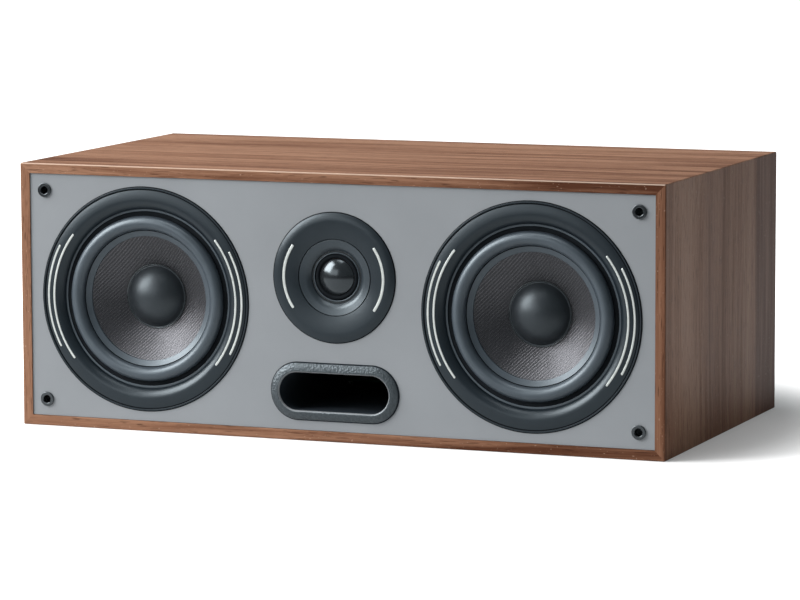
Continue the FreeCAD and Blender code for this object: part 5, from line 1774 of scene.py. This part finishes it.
@dataclass
class Port:
    """The oblong port with its raised rim, in millimetres.

    The edge of the mouth is painted light grey as a highlight, which reaches into the duct as far as the
    field polish says.
    """

    bore_r: float = 13.8
    straight: float = 57.5
    rim_r: float = 21.4
    rim_h: float = 3.4
    edge_h: float = 1.4
    flange_w: float = 0.8
    flange_h: float = 0.2
    crown: float = 0.33
    mouth: float = 1.0
    edge_round: float = 0.25
    mouth_round: float = 0.65
    highlight_reach: float = 0.6
    wall: float = 3.0
    length: float = 118.0

    def section(self) -> list[Corner]:
        """The duct's wall and the rim."""
        tube_r = self.bore_r + self.wall
        return [
            Corner(self.bore_r, -self.length),
            Corner(tube_r, -self.length),
            Corner(tube_r, 0.0),
            Corner(self.rim_r, 0.0),
            Corner(self.rim_r, self.flange_h),
            Corner(self.rim_r - self.flange_w, self.flange_h),
            Corner(self.rim_r - self.flange_w, self.edge_h, self.edge_round),
            Corner(self.bore_r + self.mouth, self.rim_h, self.mouth_round, -self.crown),
            Corner(self.bore_r, self.rim_h - self.mouth, self.mouth_round),
        ]

    def build(self, bench: Bench) -> None:
        """Make the port."""
        axis = face_axis("port_tube")
        duct = turned("port_duct", self.section(), axis, steps=DOME_STEPS, spread=(self.straight / 2, 0.0))
        bench.fit(duct, Body.CABINET, PORT_GRAIN, "port_tube")
        zoned(duct, axis, self.zone, DUCT_AND_SHADE_BLACK, PORT_HIGHLIGHT, straight=self.straight)

    def zone(self, r: float, f: float) -> int:
        """Which of the port's finishes a spot of the section has.

        Args:
            r: the spot's distance from the axis.
            f: its distance in front of the baffle.

        Returns:
            0 on the grained rim, 1 in the duct and on the thin flange, which is painted black as a shade
            line,
            2 on the edge of the mouth, which is painted light grey as a highlight.
        """
        if r > self.bore_r + self.mouth:
            return int(f < self.flange_h + 2 * NEAR)
        return 2 if f > self.rim_h - self.mouth - self.highlight_reach else 1


@dataclass
class GrilleSockets:
    """Four blind sockets in the baffle's corners, in millimetres."""

    flange_r: float = 5.3
    flange_h: float = 1.3
    round_off: float = 0.6
    back_round: float = 0.4
    body_r: float = 4.0
    bore_r: float = 2.9
    length: float = 14.0
    floor: float = 1.5

    def section(self) -> list[Corner]:
        """One socket."""
        back = self.flange_h - self.length
        return [
            Corner(0.0, back),
            Corner(self.body_r, back, self.back_round),
            Corner(self.body_r, 0.0),
            Corner(self.flange_r, 0.0),
            Corner(self.flange_r, self.flange_h, self.round_off),
            Corner(self.bore_r, self.flange_h, self.round_off),
            Corner(self.bore_r, back + self.floor),
            Corner(0.0, back + self.floor),
        ]

    def build(self, bench: Bench) -> None:
        """Make one socket and repeat it on the four corners."""
        low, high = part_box("grille_sockets")
        flange = 2 * self.flange_r * MM
        sockets = turned("corner_sockets", self.section(), Vector(), steps=SMALL_STEPS)
        bench.corners.run(sockets, {
            "Span X": high.x - low.x - flange, "Span Z": high.z - low.z - flange,
            "Centre": face_axis("grille_sockets"), "Material": GLOSS_BLACK.material()})
        bench.fit(sockets, Body.CABINET, GLOSS_BLACK, "grille_sockets")


@dataclass
class Terminals:
    """The rear cup with its two screw posts, in millimetres."""

    cup_w: float = 84.0
    cup_h: float = 64.0
    corner: float = 12.0
    flange: float = 6.0
    flange_thick: float = 2.5
    wall: float = 2.5
    recess: float = 22.0
    back_round: float = 1.5
    flange_round: float = 0.9
    mouth_round: float = 1.1
    floor_round: float = 2.0
    post_spacing: float = 26.0
    post_r: float = 3.0
    post_flange_r: float = 6.0
    post_flange_h: float = 2.0
    post_length: float = 17.0
    post_bore_r: float = 2.0
    post_bore: float = 13.0
    tail_r: float = 2.5
    tail: float = 14.5
    post_round: float = 0.4
    neck_round: float = 0.2
    tip_round: float = 0.35
    post_fit: float = 0.06
    washer_r: float = 5.5
    washer_h: float = 1.0
    washer_round: float = 0.25
    washer_bore_round: float = 0.15
    knob_r: float = 6.0
    knob_length: float = 12.5
    collar: float = 3.0
    flutes: int = 16
    flute_r: float = 0.7
    flute_columns: int = 14
    knob_round: float = 0.6
    knob_foot_round: float = 0.35
    knob_bore_round: float = 0.4
    screw_r: float = 1.5
    head_r: float = 2.6
    head_h: float = 1.5
    head_round: float = 0.2
    head_crown: float = 0.25
    screw_length: float = 12.0
    screw_tip_round: float = 0.3
    slot_w: float = 0.7
    slot_reach: float = 3.2
    slot_depth: float = 0.9

    def cup_section(self) -> list[Corner]:
        """The cup's flange, wall and floor, with f counted out from the back panel's face."""
        inner = self.corner - self.wall
        outer = self.corner + self.flange
        return [
            Corner(0.0, -self.recess - self.wall),
            Corner(self.corner, -self.recess - self.wall, self.back_round),
            Corner(self.corner, 0.0),
            Corner(outer, 0.0),
            Corner(outer, self.flange_thick, self.flange_round),
            Corner(inner, self.flange_thick, self.mouth_round),
            Corner(inner, -self.recess, self.floor_round),
            Corner(0.0, -self.recess),
        ]

    def post_section(self) -> list[Corner]:
        """A post, with f counted out from the cup's floor."""
        return [
            Corner(0.0, -self.tail),
            Corner(self.tail_r, -self.tail, self.post_round),
            Corner(self.tail_r, 0.0),
            Corner(self.post_flange_r, 0.0),
            Corner(self.post_flange_r, self.post_flange_h, self.post_round),
            Corner(self.post_r, self.post_flange_h, self.neck_round),
            Corner(self.post_r, self.post_length, self.tip_round),
            Corner(self.post_bore_r, self.post_length, self.tip_round),
            Corner(self.post_bore_r, self.post_length - self.post_bore),
            Corner(0.0, self.post_length - self.post_bore),
        ]

    def washer_section(self) -> list[Corner]:
        """A loose washer."""
        bore, base = self.post_r + self.post_fit, self.post_flange_h
        return [
            Corner(bore, base),
            Corner(self.washer_r, base, self.washer_round),
            Corner(self.washer_r, base + self.washer_h, self.washer_round),
            Corner(bore, base + self.washer_h, self.washer_bore_round),
        ]

    def knob_section(self) -> list[Corner]:
        """A screw cap before its flutes are pressed in."""
        bore, base = self.post_r + self.post_fit, self.post_flange_h + self.washer_h
        top = base + self.knob_length
        return [
            Corner(bore, base),
            Corner(self.knob_r, base, self.knob_foot_round),
            Corner(self.knob_r, base + self.collar),
            Corner(self.knob_r, base + self.collar + self.flute_r),
            Corner(self.knob_r, top, self.knob_round),
            Corner(bore, top, self.knob_bore_round),
        ]

    def screw_section(self) -> list[Corner]:
        """A round-headed screw, with f counted out from the flange's face."""
        return [
            Corner(0.0, -self.screw_length),
            Corner(self.screw_r, -self.screw_length, self.screw_tip_round),
            Corner(self.screw_r, 0.0),
            Corner(self.head_r, 0.0),
            Corner(self.head_r, self.head_h / 2, self.head_round),
            Corner(0.0, self.head_h, 0.0, self.head_crown),
        ]

    def cross_cutter(self) -> Piece:
        """Two crossed bars that cut a screw's recess."""
        form = bmesh.new()
        for size in ((self.slot_reach, self.slot_w), (self.slot_w, self.slot_reach)):
            scale = Matrix.Diagonal((size[0] * MM, 2 * self.slot_depth * MM, size[1] * MM, 1.0))
            shift = Matrix.Translation((0.0, self.head_h * MM, 0.0))
            bmesh.ops.create_cube(form, size=1.0, matrix=shift @ scale)
        mesh = bpy.data.meshes.new("cross")
        form.to_mesh(mesh)
        form.free()
        return new_piece("cross", mesh)

    def screws(self, bench: Bench) -> None:
        """Make a cross-recessed screw and repeat it on the cup's corners."""
        low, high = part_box("terminal_screws")
        face_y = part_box("terminal_cup")[1].y
        spot = middle("terminal_screws")
        screws = turned("cup_screws", self.screw_section(), Vector(), Facing.BACK, SMALL_STEPS)
        cutter = self.cross_cutter()
        cut = screws.modifiers.new("recess", "BOOLEAN")
        cut.operation = "DIFFERENCE"
        cut.solver = "EXACT"
        cut.use_self = True
        cut.object = cutter
        applied(screws)
        bpy.data.objects.remove(cutter)
        head = 2 * self.head_r * MM
        bench.corners.run(screws, {
            "Span X": high.x - low.x - head, "Span Z": high.z - low.z - head,
            "Centre": Vector((spot.x, face_y, spot.z)), "Material": BLACK_SCREW.material()})
        bench.fit(screws, Body.CABINET, BLACK_SCREW, "terminal_screws")

    def build(self, bench: Bench) -> None:
        """Make the cup, its posts, washers, caps and screws."""
        back_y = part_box("back_panel")[1].y
        cup_z = middle("terminal_cup").z
        floor_y = back_y - self.recess * MM
        spread = (self.cup_w / 2 - self.corner, self.cup_h / 2 - self.corner)
        cup = turned(
            "rear_cup", self.cup_section(), Vector((0, back_y, cup_z)), Facing.BACK, SMALL_STEPS, spread)
        bench.fit(cup, Body.CABINET, GLOSS_BLACK, "terminal_cup")
        posts = turned("binding_posts", self.post_section(), Vector(), Facing.BACK, SMALL_STEPS)
        bench.corners.run(posts, {
            "Span X": self.post_spacing * MM, "Span Z": 0.0, "Rows": 1,
            "Centre": Vector((0, floor_y, cup_z)), "Material": GOLD.material()})
        bench.fit(posts, Body.CABINET, GOLD, "terminal_posts")
        for colour, side, washer_body, cap_body, finish in (
            ("red", 1, Body.RED_WASHER, Body.RED_CAP, RED_CAP),
            ("black", -1, Body.BLACK_WASHER, Body.BLACK_CAP, GLOSS_BLACK),
        ):
            axis = Vector((side * self.post_spacing / 2 * MM, floor_y, cup_z))
            washer = turned(f"{colour}_clamp_washer", self.washer_section(), axis, Facing.BACK, SMALL_STEPS)
            bench.fit(washer, washer_body, GOLD, f"{colour}_terminal_washer")
            columns = self.flute_columns * self.flutes
            knob = turned(f"{colour}_knob", self.knob_section(), axis, Facing.BACK, columns)
            grip = self.post_flange_h + self.washer_h + self.collar
            bench.flutes.run(knob, {
                "Centre": axis, "Radius": self.knob_r * MM, "Flute Radius": self.flute_r * MM,
                "Count": float(self.flutes), "Grip Start": grip * MM, "Material": finish.material()})
            bench.fit(knob, cap_body, finish, f"{colour}_terminal_cap")
        self.screws(bench)
        bench.dress("terminal_nuts", STEEL)


@dataclass
class Inside:
    """What the closed cabinet holds: crossover, leads, wadding and hidden screws."""

    def build(self, bench: Bench) -> None:
        """Dress the hidden nodes."""
        bench.dress_all({
            "board": BOARD_GREEN, "standoffs": CERAMIC, "inductors": COPPER, "capacitors": BLUE_FILM,
            "resistors": CERAMIC}, "crossover_")
        bench.dress_all({"wiring_loom": BLACK_LEAD, "acoustic_wadding": FELT, "driver_screws": BLACK_SCREW})


# Studio

WHITE = (1.0, 1.0, 1.0)


@dataclass(frozen=True)
class Lamp:
    """A soft box.

    Attributes:
        name: the lamp's name.
        towards: direction from the speaker to the lamp.
        distance: how far away it stands, in metres.
        size: width and height in metres.
        watts: its power.
    """

    name: str
    towards: Colour
    distance: float
    size: tuple[float, float]
    watts: float

    def build(self, aim: Vector) -> None:
        """Hang the lamp and turn it to the speaker."""
        data = bpy.data.lights.new(self.name, "AREA")
        data.shape = "RECTANGLE"
        data.size, data.size_y = self.size
        data.energy = self.watts
        lamp = bpy.data.objects.new(self.name, data)
        way = Vector(self.towards).normalized()
        lamp.location = aim + way * self.distance
        lamp.rotation_mode = "QUATERNION"
        lamp.rotation_quaternion = way.to_track_quat("Z", "Y")
        bpy.context.scene.collection.objects.link(lamp)


@dataclass
class Studio:
    """White floor, soft lamps, room and camera, in metres.

    Attributes:
        azimuth_deg: the camera's turn from the front towards the right.
        elevation_deg: its height as an angle.
        roll_deg: its turn about the line of sight.
        lens: its focal length in millimetres.
        distance: how far it stands from the speaker's middle.
        aim_right: how far it looks past the middle, to the right.
        aim_up: how far it looks past the middle, upwards.
        floor_size: side of the square floor.
        floor_parts: squares along that side.
        floor_white: the floor's colour where a ray sees the backdrop.
        floor_bounce: the floor's colour for other rays, by the speaker.
        floor_dark: that colour far from the speaker.
        floor_rough: the floor's roughness.
        bounce_fade: distances between which it gets dark.
        shade_lift: the floor's own light in the speaker's shadow, where 1 is white.
        lift_fade: distances between which the floor rises to plain white.
        floor_behind: places along Y between which a mirror starts to see the floor as backdrop.
        world_behind: the same for the world, as Y of a ray's direction.
        dim: strength of the room in front.
        room: colour of the room in front.
        backdrop: strength of the backdrop.
        lamps: the soft boxes.
    """

    azimuth_deg: float = 21.607
    elevation_deg: float = 7.182
    roll_deg: float = -0.209
    lens: float = 187.8
    distance: float = 3.1238
    aim_right: float = -0.00216
    aim_up: float = -0.00987
    floor_size: float = 40.0
    floor_parts: int = 8
    floor_white: float = 0.82
    floor_bounce: float = 0.65
    floor_dark: float = 0.07
    floor_rough: float = 0.9
    bounce_fade: tuple[float, float] = (0.5, 0.95)
    shade_lift: float = 0.12
    lift_fade: tuple[float, float] = (0.28, 0.40)
    floor_behind: tuple[float, float] = (-0.1, 0.3)
    world_behind: tuple[float, float] = (0.0, 0.7)
    dim: float = 0.19
    room: Colour = (0.88, 0.97, 1.0)
    backdrop: float = 1.0
    lamps: tuple[Lamp, ...] = (
        Lamp("key", towards=(-0.76, -0.43, 0.49), distance=3.0, size=(1.9, 1.9), watts=136.0),
        Lamp("overhead", towards=(-0.15, -0.2, 0.97), distance=2.6, size=(1.8, 1.2), watts=28.0),
        Lamp("fill", towards=(-0.42, -0.87, 0.27), distance=3.0, size=(2.0, 1.2), watts=14.0),
    )

    def build(self, aim: Vector) -> None:
        """Set up everything round the speaker."""
        self.camera(aim)
        self.floor()
        self.world()
        for lamp in self.lamps:
            lamp.build(aim)

    def camera(self, aim: Vector) -> None:
        """Put the camera where the photograph was taken from."""
        a, e, roll = (math.radians(d) for d in (self.azimuth_deg, self.elevation_deg, self.roll_deg))
        back = Vector((math.sin(a) * math.cos(e), -math.cos(a) * math.cos(e), math.sin(e)))
        level = Vector((math.cos(a), math.sin(a), 0.0))
        upright = back.cross(level)
        right = level * math.cos(roll) + upright * math.sin(roll)
        up = upright * math.cos(roll) - level * math.sin(roll)
        data = bpy.data.cameras.new("camera")
        data.lens = self.lens
        camera = bpy.data.objects.new("camera", data)
        place = aim + right * self.aim_right + up * self.aim_up + back * self.distance
        camera.matrix_world = Matrix.Translation(place) @ Matrix((right, up, back)).transposed().to_4x4()
        bpy.context.scene.collection.objects.link(camera)
        bpy.context.scene.camera = camera

    @staticmethod
    def backdrop_mask(pen: NodePen, behind: Socket) -> Socket:
        """Where a ray sees the white backdrop.

        Args:
            pen: pen of the floor's or the world's tree.
            behind: 0 in front of the speaker and 1 behind it.

        Returns:
            1 for a camera ray, and for a ray from a mirror or glass that goes behind the speaker.
        """
        rays = pen.add("ShaderNodeLightPath").outputs
        mirrored = pen.math("MAXIMUM", rays["Is Glossy Ray"], rays["Is Transmission Ray"])
        return pen.math("MAXIMUM", rays["Is Camera Ray"], pen.math("MULTIPLY", mirrored, behind))

    def floor(self) -> None:
        """A white floor that keeps the speaker's shadow and fades to plain white."""
        form = bmesh.new()
        parts = self.floor_parts
        bmesh.ops.create_grid(form, x_segments=parts, y_segments=parts, size=self.floor_size / 2)
        mesh = bpy.data.meshes.new("floor")
        form.to_mesh(mesh)
        form.free()
        floor = new_piece("floor", mesh)
        paper = bpy.data.materials.new("white_paper")
        paper.use_nodes = True
        pen = NodePen(paper.node_tree)
        shader = paper.node_tree.nodes["Principled BSDF"]
        place = pen.place()
        behind = pen.remap(pen.split(place)["Y"], *self.floor_behind, way="SMOOTHSTEP")
        seen = self.backdrop_mask(pen, behind)
        reach = pen.add("ShaderNodeVectorMath", {0: place}, operation="LENGTH").outputs["Value"]
        bounce = pen.remap(reach, *self.bounce_fade, self.floor_bounce, self.floor_dark, "SMOOTHSTEP")
        lift = pen.remap(reach, *self.lift_fade, self.shade_lift, 1.0, "SMOOTHSTEP")
        pen.fill(shader, {
            "Base Color": pen.mix(seen, bounce, (self.floor_white,) * 3), "Roughness": self.floor_rough,
            "Specular IOR Level": 0.0, "Emission Color": opaque(WHITE),
            "Emission Strength": pen.math("MULTIPLY", lift, seen)})
        mesh.materials.append(paper)
        floor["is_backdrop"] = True

    def world(self) -> None:
        """A white backdrop behind the speaker and a dim room in front of it."""
        world = bpy.data.worlds.new("studio")
        world.use_nodes = True
        bpy.context.scene.world = world
        pen = NodePen(world.node_tree)
        ground = world.node_tree.nodes["Background"]
        way = pen.split(pen.add("ShaderNodeTexCoord").outputs["Generated"])
        seen = self.backdrop_mask(pen, pen.remap(way["Y"], *self.world_behind, way="SMOOTHSTEP"))
        pen.fill(ground, {
            "Strength": pen.remap(seen, 0.0, 1.0, self.dim, self.backdrop),
            "Color": pen.mix(seen, self.room, WHITE)})


def main() -> None:
    """Load the frame, build the speaker on it and set up the studio."""
    logging.basicConfig(level=logging.INFO, format="%(name)s: %(message)s")
    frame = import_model()
    cad_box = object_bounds()
    bench = Bench(frame)
    for assembly in (
        Cabinet(), Woofer(Side.LEFT), Woofer(Side.RIGHT), Tweeter(), Port(), GrilleSockets(), Terminals(),
        Inside(),
    ):
        assembly.build(bench)
        LOG.info("%s is ready", type(assembly).__name__)
    low, high = cad_box
    Studio().build(Vector((0, 0, (low.z + high.z) / 2)))
    bpy.context.scene.view_settings.view_transform = "Standard"


if __name__ == "__main__":
    main()
